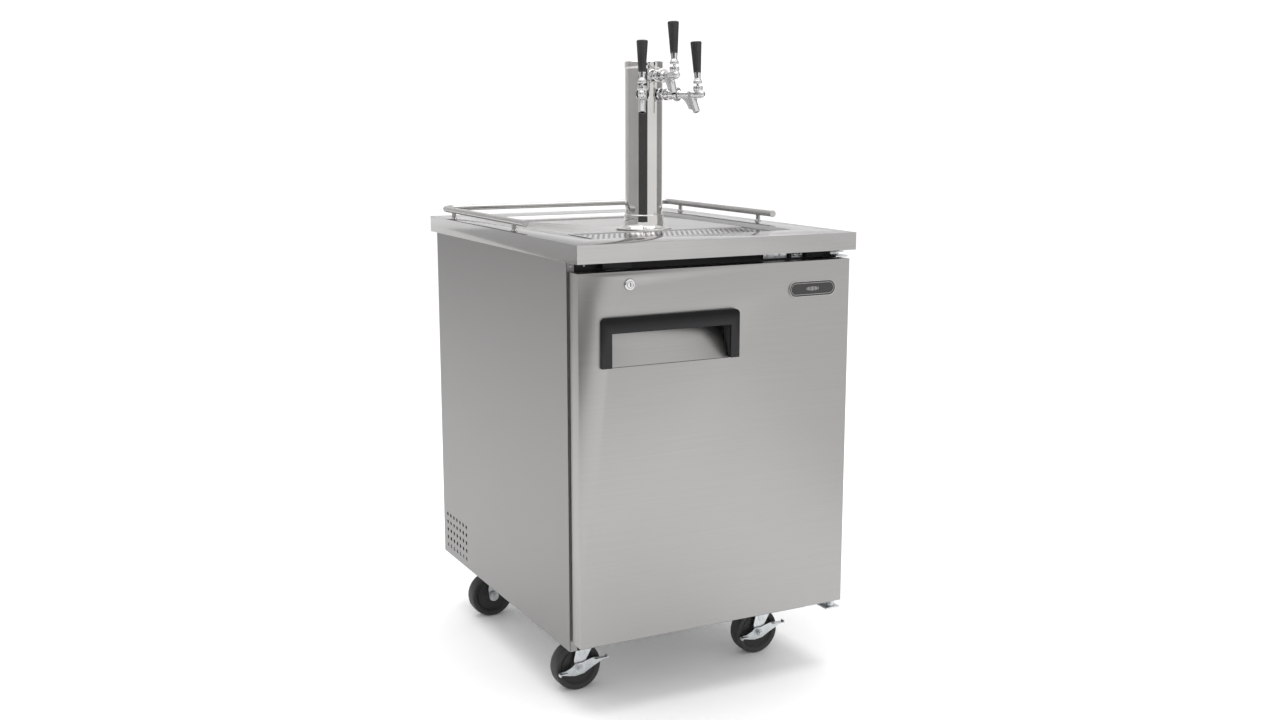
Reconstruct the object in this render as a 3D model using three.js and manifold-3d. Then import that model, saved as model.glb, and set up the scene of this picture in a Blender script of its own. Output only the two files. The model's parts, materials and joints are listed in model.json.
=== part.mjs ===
// A single-keg draft beer cooler on four casters: a refrigerated cabinet with one door, a worktop
// with a guard rail and a drip area, and a tower with three taps.
// Millimetres. +Z is up, -Y is the front, +X is the right side seen from the front. The origin is
// on the floor under the middle of the worktop.
import * as THREE from "three";
import { mergeVertices } from "three/addons/utils/BufferGeometryUtils.js";
import Module from "manifold-3d";

const wasm = await Module();
wasm.setup();

// ---- driving dimensions -------------------------------------------------------------------
const GAP = 0.3; // between pieces that touch
const SHEET = 1.2; // cabinet sheet steel

const TOP_WIDTH = 600;
const TOP_DEPTH = 784;
const TOP_Z = 898;
const TOP_EDGE = 34;
const TOP_SHEET = 1.5;
const BASIN = { halfX: 225, frontY: -290, backY: 292, depth: 5, slope: 6, corner: 14 };
const SUMP = { halfX: 195, frontY: -279, backY: -135, floorZ: 872, lip: 4 };

const BODY_HALF_X = 296.7;
const BODY_FRONT_Y = -339;
const BODY_BACK_Y = 360;
const BODY_BOTTOM_Z = 125;
const BODY_TOP_Z = TOP_Z - TOP_EDGE - GAP;
const FLANGE_WIDTH = 15;
const BASE_FLANGE = 24;

const CAVITY = { halfX: 254, backY: 320, floorZ: 172, stepY: 95, stepZ: 350, ceilingZ: 822 };
const LINER_SHEET = 1;
const MACHINE_ROOM = { frontY: 115, topZ: 332 };
const LINE_HOLE_HALF = 22;

const VENTS = { columns: 7, rows: 5, firstY: 335, firstZ: 145.5, pitchY: 20, pitchZ: 18.3, radius: 4.4 };

const DOOR = { halfX: 293.5, frontY: -380.3, backY: -345, bottomZ: 144, topZ: 846 };
const DOOR_SHEET = 1.2;
const GASKET = { halfX: 279, bottomZ: 155, topZ: 835, width: 20 };
const HINGE = { x: 281, y: -362.5, pinRadius: 4 };
const HANDLE = {
  leftX: -250, rightX: 38.5, topZ: 764, barHeight: 29, legWidth: 20, bottomZ: 672, proud: 8.7,
};
const POCKET = { lowZ: 673, deepZ: 738, topZ: 757, backY: -350.5, sheet: 1.2, wall: 1.4 };
const LOCK = { x: -190, z: 822, ringRadius: 11, barrelRadius: 8.5, coreRadius: 6, camLength: 34 };
const BADGE = { x: 206.4, z: 792, length: 107, height: 31, thickness: 2.3 };

const RAIL = {
  halfX: 283, frontY: -118, backY: 362, corner: 30, lift: 18.5, radius: 6.35, postRadius: 4.5,
};
const RAIL_POST_Y = [-60, 284];

const TOWER = {
  y: -70, radius: 38, wall: 1.5, topZ: 1229, capHeight: 15, ringHeight: 30, flangeRadius: 57.5,
};
const TOWER_SIDES = 28;
const TAP_REACH = 128; // tower axis to lever axis
const TAP_SPREAD = 29; // degrees between neighbouring taps
const TAP_LEAN = 3.5; // degrees the closed lever leans back
const TAP_HANDLE_LENGTH = 60;
const LEVER_PIVOT_RISE = 10; // lever pivot above the shank axis
const TAPS = [
  { name: "left", angle: -TAP_SPREAD, z: 1163 },
  { name: "centre", angle: 0, z: 1199 },
  { name: "right", angle: TAP_SPREAD, z: 1163 },
];

const CASTER = { x: 208, frontY: -227, rearY: 235, trail: 27, wheelRadius: 49, wheelWidth: 32 };
const CASTER_PLATE = { halfX: 48, halfY: 34, thickness: 3.2 };
const FORK = { ringRadius: 27, cheek: 2.6, innerY: 17.5, topZ: 118 };
const AXLE_RADIUS = 4.5;

const BRACKET_SHEET = 2.7;
const UPPER_BRACKET = { leftX: 118, armX: 266, rightX: 294, frontY: -374, lowZ: 849, arm: 3 };
const LOWER_BRACKET = { leftX: 232, armX: 262, rightX: 294, frontY: -376, lowZ: 126, arm: 3.5, bushing: 8 };
const STRIKE = { left: 45, right: 14, frontY: -361, lowZ: 848.5, sheet: 1.5 };
const COMPRESSOR = { x: -150, y: 236, footX: 62, footY: 50 };
const POWER_INLET = { x: -266, z: 300, halfX: 25, halfZ: 18, depth: 4 };

// ---- solids -------------------------------------------------------------------------------
function toManifold(geometry) {
  const bare = geometry.clone();
  bare.deleteAttribute("normal");
  bare.deleteAttribute("uv");
  const merged = mergeVertices(bare, 1e-4);
  return new wasm.Manifold(
    new wasm.Mesh({
      numProp: 3,
      vertProperties: new Float32Array(merged.attributes.position.array),
      triVerts: new Uint32Array(merged.index.array),
    })
  );
}

function toGeometry(solid) {
  const mesh = solid.getMesh();
  const geometry = new THREE.BufferGeometry();
  geometry.setAttribute("position", new THREE.BufferAttribute(new Float32Array(mesh.vertProperties), 3));
  geometry.setIndex(new THREE.BufferAttribute(new Uint32Array(mesh.triVerts), 1));
  geometry.computeVertexNormals();
  return geometry;
}

function join(...geometries) {
  const solids = geometries.map(toManifold);
  return toGeometry(solids.slice(1).reduce((sum, solid) => sum.add(solid), solids[0]));
}

function cut(geometry, ...tools) {
  const solids = tools.map(toManifold);
  return toGeometry(solids.reduce((rest, solid) => rest.subtract(solid), toManifold(geometry)));
}

function box(x0, x1, y0, y1, z0, z1) {
  const geometry = new THREE.BoxGeometry(x1 - x0, y1 - y0, z1 - z0);
  return geometry.translate((x0 + x1) / 2, (y0 + y1) / 2, (z0 + z1) / 2);
}

// An upright cylinder or cone from z0 to z1.
function upright(radius, x, y, z0, z1, sides = 24, topRadius = radius) {
  const geometry = new THREE.CylinderGeometry(topRadius, radius, z1 - z0, sides);
  return geometry.rotateX(Math.PI / 2).translate(x, y, (z0 + z1) / 2);
}

// A cylinder along Y from y0 to y1.
function alongY(radius, x, z, y0, y1, sides = 24) {
  return new THREE.CylinderGeometry(radius, radius, y1 - y0, sides).translate(x, (y0 + y1) / 2, z);
}

// A closed profile of [radius, height] points turned about +Z.
function turned(points, sides = 24) {
  const profile = points.map(([radius, height]) => new THREE.Vector2(radius, height));
  return new THREE.LatheGeometry(profile, sides).rotateX(Math.PI / 2);
}

function polygon(points) {
  return new THREE.Shape(points.map(([a, b]) => new THREE.Vector2(a, b)));
}

function rounded(x0, x1, y0, y1, radius) {
  const shape = new THREE.Shape();
  shape.moveTo(x0 + radius, y0);
  shape.lineTo(x1 - radius, y0);
  shape.absarc(x1 - radius, y0 + radius, radius, -Math.PI / 2, 0, false);
  shape.lineTo(x1, y1 - radius);
  shape.absarc(x1 - radius, y1 - radius, radius, 0, Math.PI / 2, false);
  shape.lineTo(x0 + radius, y1);
  shape.absarc(x0 + radius, y1 - radius, radius, Math.PI / 2, Math.PI, false);
  shape.lineTo(x0, y0 + radius);
  shape.absarc(x0 + radius, y0 + radius, radius, Math.PI, 1.5 * Math.PI, false);
  return shape;
}

function rectangle(x0, x1, y0, y1) {
  return polygon([[x0, y0], [x1, y0], [x1, y1], [x0, y1]]);
}

function extrude(shape, depth, curveSegments = 6) {
  return new THREE.ExtrudeGeometry(shape, { depth, bevelEnabled: false, curveSegments });
}

// A shape drawn in X and Y, lying between z0 and z1.
function slabZ(shape, z0, z1, curveSegments) {
  return extrude(shape, z1 - z0, curveSegments).translate(0, 0, z0);
}

// A shape drawn in X and Z, standing between y0 and y1.
function slabY(shape, y0, y1, curveSegments) {
  return extrude(shape, y1 - y0, curveSegments).rotateX(Math.PI / 2).translate(0, y1, 0);
}

// A shape drawn in Y and Z, standing between x0 and x1.
function slabX(shape, x0, x1, curveSegments) {
  const turn = new THREE.Matrix4().set(0, 0, 1, 0, 1, 0, 0, 0, 0, 1, 0, 0, 0, 0, 0, 1);
  return extrude(shape, x1 - x0, curveSegments).applyMatrix4(turn).translate(x0, 0, 0);
}

// A route through points, with one section of a swept tube at each point.
class Route extends THREE.Curve {
  constructor(points) {
    super();
    this.points = points;
  }
  getPoint(t) {
    const place = Math.min(Math.max(t, 0), 1) * (this.points.length - 1);
    const index = Math.min(Math.floor(place), this.points.length - 2);
    return this.points[index].clone().lerp(this.points[index + 1], place - index);
  }
  getUtoTmapping(u) {
    return u;
  }
  getSpacedPoints(count) {
    return this.getPoints(count);
  }
}

function tube(points, radius, quarters = 5) {
  const section = new THREE.Shape();
  section.absarc(0, 0, radius, 0, 2 * Math.PI, false);
  const options = { steps: points.length - 1, extrudePath: new Route(points), curveSegments: quarters };
  return new THREE.ExtrudeGeometry(section, options);
}

function mirrored(geometry) {
  return toGeometry(toManifold(geometry).mirror([1, 0, 0]));
}

// ---- finishes -----------------------------------------------------------------------------
const FINISHES = {
  steel: [0xb4b4b0, 0.38, 0.9],
  polished: [0xc9c9c4, 0.16, 1.0],
  chrome: [0xd6d8da, 0.08, 1.0],
  zinc: [0xaeb4b8, 0.35, 0.9],
  galvanised: [0x9aa0a4, 0.5, 0.8],
  black: [0x17181a, 0.5, 0.0],
  rubber: [0x101011, 0.85, 0.0],
  white: [0xe4e4e0, 0.4, 0.0],
  foam: [0xe0d6b0, 0.95, 0.0],
  coil: [0x8d9296, 0.45, 0.8],
  copper: [0xb0703f, 0.35, 1.0],
};

const model = new THREE.Group();

function add(name, geometry, finish) {
  const [color, roughness, metalness] = FINISHES[finish];
  const mesh = new THREE.Mesh(geometry, new THREE.MeshStandardMaterial({ color, roughness, metalness }));
  mesh.name = name;
  model.add(mesh);
  return mesh;
}

// ---- cabinet ------------------------------------------------------------------------------
function leftSidePanel() {
  const outline = rectangle(BODY_FRONT_Y, BODY_BACK_Y, BODY_BOTTOM_Z, BODY_TOP_Z);
  for (let column = 0; column < VENTS.columns; column += 1) {
    for (let row = 0; row < VENTS.rows; row += 1) {
      const hole = new THREE.Path();
      const y = VENTS.firstY - column * VENTS.pitchY;
      const z = VENTS.firstZ + row * VENTS.pitchZ;
      hole.absarc(y, z, VENTS.radius, 0, 2 * Math.PI, true);
      outline.holes.push(hole);
    }
  }
  const side = slabX(outline, -BODY_HALF_X, -BODY_HALF_X + SHEET, 3);
  const flangeX = -BODY_HALF_X + FLANGE_WIDTH;
  const flange = box(-BODY_HALF_X, flangeX, BODY_FRONT_Y, BODY_FRONT_Y + SHEET, BODY_BOTTOM_Z, BODY_TOP_Z);
  return join(side, flange);
}

const INNER_HALF_X = BODY_HALF_X - SHEET - GAP;
const INNER_BACK_Y = BODY_BACK_Y - SHEET - GAP;
const INNER_FRONT_Y = BODY_FRONT_Y + SHEET + GAP;
const GRILLE_TOP_Z = 345;

function backPanel() {
  return box(-INNER_HALF_X, INNER_HALF_X, BODY_BACK_Y - SHEET, BODY_BACK_Y, GRILLE_TOP_Z, BODY_TOP_Z);
}

function rearGrille() {
  const top = GRILLE_TOP_Z - GAP;
  const sheet = box(-INNER_HALF_X, INNER_HALF_X, BODY_BACK_Y - SHEET, BODY_BACK_Y, BODY_BOTTOM_Z, top);
  const slot = { length: 210, height: 8, pitch: 18, rows: 8, firstZ: 172, innerX: 30 };
  const slots = [];
  for (let row = 0; row < slot.rows; row += 1) {
    const z = slot.firstZ + row * slot.pitch;
    for (const x of [-slot.innerX - slot.length, slot.innerX]) {
      slots.push(box(x, x + slot.length, BODY_BACK_Y - 5, BODY_BACK_Y + 5, z, z + slot.height));
    }
  }
  return cut(sheet, ...slots);
}

function basePan() {
  const [front, back] = [INNER_FRONT_Y, INNER_BACK_Y];
  const tray = box(-INNER_HALF_X, INNER_HALF_X, front, back, BODY_BOTTOM_Z, BODY_BOTTOM_Z + BASE_FLANGE);
  const sheet = 1.5;
  const edge = INNER_HALF_X - sheet;
  const hollow = box(-edge, edge, front + sheet, back - sheet, BODY_BOTTOM_Z + sheet, BODY_BOTTOM_Z + 50);
  return cut(tray, hollow);
}

function frontFrame() {
  const outerX = BODY_HALF_X - FLANGE_WIDTH - GAP;
  const innerX = CAVITY.halfX + LINER_SHEET + GAP;
  const outline = rectangle(-outerX, outerX, BODY_BOTTOM_Z, BODY_TOP_Z);
  const lowZ = CAVITY.floorZ - LINER_SHEET - GAP;
  const highZ = CAVITY.ceilingZ + LINER_SHEET + GAP;
  outline.holes.push(rectangle(-innerX, innerX, lowZ, highZ));
  return slabY(outline, BODY_FRONT_Y, BODY_FRONT_Y + SHEET);
}

// The keg space with its step over the machine room, grown outwards by a margin.
function cavitySolid(margin, frontY) {
  const outline = polygon([
    [frontY, CAVITY.floorZ - margin],
    [CAVITY.stepY + margin, CAVITY.floorZ - margin],
    [CAVITY.stepY + margin, CAVITY.stepZ - margin],
    [CAVITY.backY + margin, CAVITY.stepZ - margin],
    [CAVITY.backY + margin, CAVITY.ceilingZ + margin],
    [frontY, CAVITY.ceilingZ + margin],
  ]);
  return slabX(outline, -CAVITY.halfX - margin, CAVITY.halfX + margin);
}

function lineHole(z0, z1) {
  const half = LINE_HOLE_HALF;
  return box(-half, half, TOWER.y - half, TOWER.y + half, z0, z1);
}

function innerLiner() {
  const outer = cavitySolid(LINER_SHEET, INNER_FRONT_Y);
  const inner = cavitySolid(0, INNER_FRONT_Y - 10);
  return cut(outer, inner, lineHole(CAVITY.ceilingZ - 5, CAVITY.ceilingZ + 5));
}

function insulation() {
  const low = BODY_BOTTOM_Z + BASE_FLANGE + GAP;
  const outline = polygon([
    [INNER_FRONT_Y, low],
    [MACHINE_ROOM.frontY, low],
    [MACHINE_ROOM.frontY, MACHINE_ROOM.topZ],
    [INNER_BACK_Y, MACHINE_ROOM.topZ],
    [INNER_BACK_Y, BODY_TOP_Z],
    [INNER_FRONT_Y, BODY_TOP_Z],
  ]);
  const block = slabX(outline, -INNER_HALF_X, INNER_HALF_X);
  const hollow = cavitySolid(LINER_SHEET + GAP, INNER_FRONT_Y - 10);
  return cut(block, hollow, lineHole(CAVITY.ceilingZ, BODY_TOP_Z + 5));
}

// ---- worktop ------------------------------------------------------------------------------
// The basin's space, or the pan around it when margin is the sheet thickness.
function basinSolid(margin, topZ) {
  const inset = BASIN.slope - margin;
  const outline = rounded(
    -BASIN.halfX + inset, BASIN.halfX - inset,
    BASIN.frontY + inset, BASIN.backY - inset, BASIN.corner
  );
  const options = {
    depth: 20, bevelEnabled: true, bevelThickness: BASIN.depth, bevelSize: BASIN.slope,
    bevelSegments: 1, curveSegments: 4,
  };
  const solid = new THREE.ExtrudeGeometry(outline, options).translate(0, 0, TOP_Z - margin);
  return cut(solid, box(-400, 400, -400, 400, topZ, TOP_Z + 60));
}

function worktop() {
  const [halfX, halfY] = [TOP_WIDTH / 2, TOP_DEPTH / 2];
  const slab = box(-halfX, halfX, -halfY, halfY, TOP_Z - TOP_EDGE, TOP_Z);
  const [inX, inY] = [halfX - TOP_SHEET, halfY - TOP_SHEET];
  const under = box(-inX, inX, -inY, inY, TOP_Z - TOP_EDGE - 1, TOP_Z - TOP_SHEET);
  const shell = cut(slab, under);
  const panHole = sumpBox(TOP_SHEET + 0.5, SUMP.floorZ, TOP_Z + 1);
  const withBasin = join(shell, basinSolid(TOP_SHEET, TOP_Z - 0.5));
  return cut(withBasin, basinSolid(0, TOP_Z + 10), panHole, lineHole(SUMP.floorZ, TOP_Z));
}

// The sump's outline from z0 to z1, grown outwards by a margin.
function sumpBox(margin, z0, z1) {
  const halfX = SUMP.halfX + margin;
  return box(-halfX, halfX, SUMP.frontY - margin, SUMP.backY + margin, z0, z1);
}

// A lift-out pan that hangs in the basin's floor by its lip.
function dripPan() {
  const lipZ = TOP_Z - BASIN.depth + GAP;
  const lip = sumpBox(SUMP.lip, lipZ, lipZ + 1.2);
  const pan = sumpBox(TOP_SHEET, SUMP.floorZ - TOP_SHEET, lipZ + 1.2);
  return cut(join(pan, lip), sumpBox(0, SUMP.floorZ, TOP_Z + 1));
}

function dripGrille() {
  const top = TOP_Z - BASIN.depth;
  const [x1, y0, y1] = [SUMP.halfX - 1, SUMP.frontY + 1, SUMP.backY - 1];
  const slot = { columns: 8, rows: 4, length: 38, height: 12, pitchX: 47, pitchY: 32, firstY: -261 };
  const slots = [];
  for (let column = 0; column < slot.columns; column += 1) {
    for (let row = 0; row < slot.rows; row += 1) {
      const x = (column - (slot.columns - 1) / 2) * slot.pitchX;
      const y = slot.firstY + row * slot.pitchY;
      slots.push(box(x - slot.length / 2, x + slot.length / 2, y, y + slot.height, top - 5, top + 5));
    }
  }
  const legs = [-1, 1].map((side) => {
    const x = side * (x1 - 4);
    return box(x - 1.5, x + 1.5, y0 + 4, y1 - 4, SUMP.floorZ + GAP, top - 1);
  });
  return join(cut(box(-x1, x1, y0, y1, top - 1.5, top), ...slots), ...legs);
}

function railRoute() {
  const z = TOP_Z + RAIL.lift;
  const points = [new THREE.Vector3(-RAIL.halfX, RAIL.frontY, z)];
  const arcSteps = 6;
  for (const side of [-1, 1]) {
    for (let step = 0; step <= arcSteps; step += 1) {
      const angle = (side < 0 ? Math.PI : Math.PI / 2) - (step / arcSteps) * (Math.PI / 2);
      const x = side * (RAIL.halfX - RAIL.corner) + RAIL.corner * Math.cos(angle);
      const y = RAIL.backY - RAIL.corner + RAIL.corner * Math.sin(angle);
      points.push(new THREE.Vector3(x, y, z));
    }
  }
  points.push(new THREE.Vector3(RAIL.halfX, RAIL.frontY, z));
  return points;
}

function guardRail() {
  const pieces = [tube(railRoute(), RAIL.radius)];
  for (const x of [-RAIL.halfX, RAIL.halfX]) {
    for (const y of RAIL_POST_Y) {
      pieces.push(upright(RAIL.postRadius, x, y, TOP_Z + GAP, TOP_Z + RAIL.lift, 10));
    }
    const [capRadius, capFront, capLength] = [RAIL.radius + 0.7, RAIL.frontY - 1, 6];
    pieces.push(alongY(capRadius, x, TOP_Z + RAIL.lift, capFront, capFront + capLength, 10));
  }
  return join(...pieces);
}

// ---- tower and taps -----------------------------------------------------------------------
const TOWER_FOOT_Z = TOP_Z - BASIN.depth + GAP;

// The column and the flange welded to its foot, with the holes for the tap shanks.
function towerColumn() {
  const { radius, flangeRadius } = TOWER;
  const inner = radius - TOWER.wall;
  const [foot, ring] = [TOWER_FOOT_Z, TOWER_FOOT_Z + TOWER.ringHeight];
  const top = TOWER.topZ - TOWER.capHeight - GAP;
  const profile = [
    [inner, foot], [flangeRadius, foot], [flangeRadius, foot + 2], [51, foot + 3.2], [44.5, foot + 6],
    [41.5, foot + 10], [40.2, foot + 16], [40, ring - 2], [radius, ring], [radius, top], [inner, top],
  ];
  const wall = turned([...profile, profile[0]], TOWER_SIDES).translate(0, TOWER.y, 0);
  const holes = TAPS.map((tap) => placeTap(alongY(8.4, 0, 0, -60, 0, 12), tap));
  return cut(wall, ...holes);
}

function towerCap() {
  const [skirt, plug] = [TOWER.radius + 1, TOWER.radius - TOWER.wall - GAP];
  const low = TOWER.topZ - TOWER.capHeight;
  const profile = [
    [0, low - 3], [plug, low - 3], [plug, low], [skirt, low], [skirt, TOWER.topZ - 2.5],
    [skirt - 1.5, TOWER.topZ - 0.8], [skirt - 5, TOWER.topZ], [0, TOWER.topZ],
  ];
  return turned(profile, TOWER_SIDES).translate(0, TOWER.y, 0);
}

// Moves a tap piece, drawn about the tower axis with the tap pointing to -Y, to its place.
function placeTap(geometry, tap) {
  return geometry.rotateZ(THREE.MathUtils.degToRad(tap.angle)).translate(0, TOWER.y, tap.z);
}

// A profile of [radius, reach] points turned about the tap's level axis.
function turnedTap(points, sides = 12) {
  return turned(points, sides).rotateX(Math.PI / 2);
}

function tapShank() {
  return turnedTap([
    [0, 16], [5, 16], [5, 26], [10, 26], [10, 32.5], [8, 32.5], [8, 38.8], [10.5, 38.8], [11, 41], [11, 54],
    [9, 57], [9, 75], [13.8, 77.5], [13.8, 82.7], [0, 82.7],
  ]);
}

function leaning(geometry, degrees, y, z) {
  return geometry.rotateX(THREE.MathUtils.degToRad(degrees)).translate(0, y, z);
}

function faucetBody() {
  const throat = turnedTap([
    [0, 83], [6.5, 83], [5.6, 88], [6.4, 100], [7.6, 114], [7.6, 136], [6.2, 142], [0, 144],
  ]);
  const spoutLean = 22;
  const spout = leaning(upright(7, 0, 0, -36, 0, 14, 7.6), -spoutLean, -114, -1);
  const webOutline = polygon([[-92, 0], [-92, -4], [-108, -13], [-121, -30], [-126, -26], [-122, 0]]);
  const web = slabX(webOutline, -3.4, 3.4);
  const stem = upright(6.5, 0, -TAP_REACH, 3, 7, 14);
  const bonnet = upright(9.5, 0, -TAP_REACH, 5.5, LEVER_PIVOT_RISE + 6, 16);
  const throatForLever = upright(8.2, 0, -TAP_REACH, LEVER_PIVOT_RISE - 2.3, 30, 16);
  return cut(join(throat, spout, web, stem, bonnet), throatForLever);
}

// The lever and the handle are drawn upright about the pivot, then leaned back.
function leanLever(geometry) {
  const lean = THREE.MathUtils.degToRad(-TAP_LEAN);
  return geometry.rotateX(lean).translate(0, -TAP_REACH, LEVER_PIVOT_RISE);
}

function tapLever() {
  return leanLever(turned([
    [0, 0.3], [2.8, 0.3], [2.8, 11.5], [8.9, 11.5], [8.9, 16.5], [6.2, 18], [7.2, 31.5], [0, 31.5],
  ], 14));
}

function tapHandle() {
  const foot = 31.8;
  const top = foot + TAP_HANDLE_LENGTH;
  return leanLever(turned([
    [0, foot], [7.5, foot], [11.2, top - 4], [10.6, top - 1.5], [8, top - 0.4], [0, top],
  ], 16));
}

// ---- door ---------------------------------------------------------------------------------
const POCKET_X0 = HANDLE.leftX + HANDLE.legWidth;
const POCKET_X1 = HANDLE.rightX - HANDLE.legWidth + 1.5;

function doorSkin() {
  const slab = box(-DOOR.halfX, DOOR.halfX, DOOR.frontY, DOOR.backY, DOOR.bottomZ, DOOR.topZ);
  const edge = DOOR.halfX - DOOR_SHEET;
  const [low, high] = [DOOR.bottomZ + DOOR_SHEET, DOOR.topZ - DOOR_SHEET];
  const hollow = box(-edge, edge, DOOR.frontY + DOOR_SHEET, DOOR.backY + 5, low, high);
  const pocket = box(
    POCKET_X0 - GAP, POCKET_X1 + GAP, DOOR.frontY - 5, DOOR.frontY + 5, POCKET.lowZ - 2, POCKET.topZ + 1.5
  );
  const lockHole = alongY(LOCK.barrelRadius + GAP, LOCK.x, LOCK.z, DOOR.frontY - 5, DOOR.frontY + 5, 16);
  const slotX = LOCK.x - LOCK.camLength + 1;
  const camSlot = box(slotX, LOCK.x + 8, -355, DOOR.backY - 1, DOOR.topZ - 5, DOOR.topZ + 5);
  const pinHole = upright(HINGE.pinRadius + 0.5, HINGE.x, HINGE.y, DOOR.bottomZ - 5, DOOR.topZ + 5, 12);
  return cut(slab, hollow, pocket, lockHole, camSlot, pinHole);
}

const DOOR_BACK_SHEET = { backY: DOOR.backY - GAP, frontY: DOOR.backY - 2.3 };

function doorLiner() {
  const edge = DOOR.halfX - DOOR_SHEET - GAP;
  const [low, high] = [DOOR.bottomZ + DOOR_SHEET + GAP, DOOR.topZ - DOOR_SHEET - GAP];
  const plate = box(-edge, edge, DOOR_BACK_SHEET.frontY, DOOR_BACK_SHEET.backY, low, high);
  const bulge = box(-240, 240, DOOR_BACK_SHEET.frontY, -322, 190, 800);
  const hollow = box(-238, 238, DOOR_BACK_SHEET.frontY - 1, -324, 192, 798);
  return cut(join(plate, bulge), hollow);
}

function doorGasket() {
  const outline = rectangle(-GASKET.halfX, GASKET.halfX, GASKET.bottomZ, GASKET.topZ);
  const inX = GASKET.halfX - GASKET.width;
  outline.holes.push(rectangle(-inX, inX, GASKET.bottomZ + GASKET.width, GASKET.topZ - GASKET.width));
  return slabY(outline, DOOR.backY, BODY_FRONT_Y - GAP);
}

function doorHandle() {
  const { leftX, rightX, topZ, bottomZ, legWidth, barHeight } = HANDLE;
  const outline = new THREE.Shape();
  const corner = 9;
  outline.moveTo(leftX, bottomZ);
  outline.lineTo(leftX + legWidth, bottomZ);
  outline.lineTo(leftX + legWidth, topZ - barHeight);
  outline.lineTo(rightX - legWidth + 1.5, topZ - barHeight);
  outline.lineTo(rightX - legWidth + 1.5, bottomZ);
  outline.lineTo(rightX, bottomZ);
  outline.lineTo(rightX, topZ - corner);
  outline.absarc(rightX - corner, topZ - corner, corner, 0, Math.PI / 2, false);
  outline.lineTo(leftX + corner, topZ);
  outline.absarc(leftX + corner, topZ - corner, corner, Math.PI / 2, Math.PI, false);
  const face = slabY(outline, DOOR.frontY - HANDLE.proud, DOOR.frontY - GAP);
  const cheek = polygon([
    [DOOR.frontY - 1, POCKET.lowZ + 1], [POCKET.backY - 1, POCKET.deepZ], [POCKET.backY - 1, POCKET.topZ],
    [DOOR.frontY - 1, POCKET.topZ],
  ]);
  const left = slabX(cheek, POCKET_X0, POCKET_X0 + POCKET.wall);
  const right = slabX(cheek, POCKET_X1 - POCKET.wall, POCKET_X1);
  const tabs = [[POCKET_X0 - 2, POCKET_X0 + POCKET.wall], [POCKET_X1 - POCKET.wall, POCKET_X1 + 2]];
  const roots = tabs.map(([x0, x1]) => {
    return box(x0, x1, DOOR.frontY - 3, DOOR.frontY - GAP, POCKET.lowZ + 3, POCKET.topZ - 1);
  });
  return join(face, left, right, ...roots);
}

function handlePocket() {
  const { lowZ, deepZ, topZ, backY, sheet, wall } = POCKET;
  const front = DOOR.frontY + 0.2;
  const outline = polygon([
    [front, lowZ], [front, lowZ - sheet], [front + 1, lowZ - sheet], [backY + sheet, deepZ - 1],
    [backY + sheet, topZ + sheet], [front, topZ + sheet], [front, topZ], [backY, topZ], [backY, deepZ],
  ]);
  return slabX(outline, POCKET_X0 + wall + GAP, POCKET_X1 - wall - GAP);
}

function lockBody() {
  const ringFront = DOOR.frontY - 3;
  const ring = alongY(LOCK.ringRadius, LOCK.x, LOCK.z, ringFront, DOOR.frontY - GAP, 20);
  const barrel = alongY(LOCK.barrelRadius, LOCK.x, LOCK.z, ringFront + 1, -354.5, 20);
  const bore = alongY(LOCK.coreRadius + GAP, LOCK.x, LOCK.z, ringFront - 5, -340, 20);
  return cut(join(ring, barrel), bore);
}

function lockCylinder() {
  const core = alongY(LOCK.coreRadius, LOCK.x, LOCK.z, DOOR.frontY - 3.4, -351, 20);
  const cam = box(LOCK.x - LOCK.camLength, LOCK.x, -353.6, -351, LOCK.z - 5.5, LOCK.z + 5.5);
  const keyway = box(LOCK.x - 0.9, LOCK.x + 0.9, DOOR.frontY - 5, DOOR.frontY + 1, LOCK.z - 3.6, LOCK.z + 3.6);
  return cut(join(core, cam), keyway);
}

function badge() {
  const [halfL, halfH] = [BADGE.length / 2, BADGE.height / 2];
  const outline = rounded(BADGE.x - halfL, BADGE.x + halfL, BADGE.z - halfH, BADGE.z + halfH, halfH - 0.5);
  return slabY(outline, DOOR.frontY - GAP - BADGE.thickness, DOOR.frontY - GAP, 5);
}

// ---- hinges and strike --------------------------------------------------------------------
function hingePin(z0, z1) {
  return upright(HINGE.pinRadius, HINGE.x, HINGE.y, z0, z1, 12);
}

function upperHingeBracket() {
  const { leftX, armX, rightX, frontY, lowZ, arm } = UPPER_BRACKET;
  const back = BODY_FRONT_Y - GAP;
  const plate = box(leftX, rightX, back - BRACKET_SHEET, back, lowZ, BODY_TOP_Z - 1);
  const shelf = box(armX, rightX, frontY, back, lowZ, lowZ + arm);
  return join(plate, shelf, hingePin(DOOR.topZ - 12, lowZ + arm - 1));
}

function lowerHingeBracket() {
  const { leftX, armX, rightX, frontY, lowZ, arm, bushing } = LOWER_BRACKET;
  const back = BODY_FRONT_Y - GAP;
  const plate = box(leftX, rightX, back - BRACKET_SHEET, back, lowZ, DOOR.bottomZ - 2);
  const shelf = box(armX, rightX, frontY, back, lowZ, lowZ + arm);
  const washer = upright(bushing, HINGE.x, HINGE.y, lowZ + 2, DOOR.bottomZ - 1, 14);
  return join(plate, shelf, washer, hingePin(lowZ + 2, DOOR.bottomZ + 12));
}

function lockStrike() {
  const [x0, x1, top] = [LOCK.x - STRIKE.left, LOCK.x + STRIKE.right, BODY_TOP_Z - 1];
  const tab = box(x0, x1, STRIKE.frontY, STRIKE.frontY + STRIKE.sheet, STRIKE.lowZ, top);
  const shelf = box(x0, x1, STRIKE.frontY, BODY_FRONT_Y - GAP, top - STRIKE.sheet, top);
  return join(tab, shelf);
}

// ---- refrigeration ------------------------------------------------------------------------
const FLOOR_OF_MACHINES = BODY_BOTTOM_Z + 1.5 + GAP;

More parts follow.
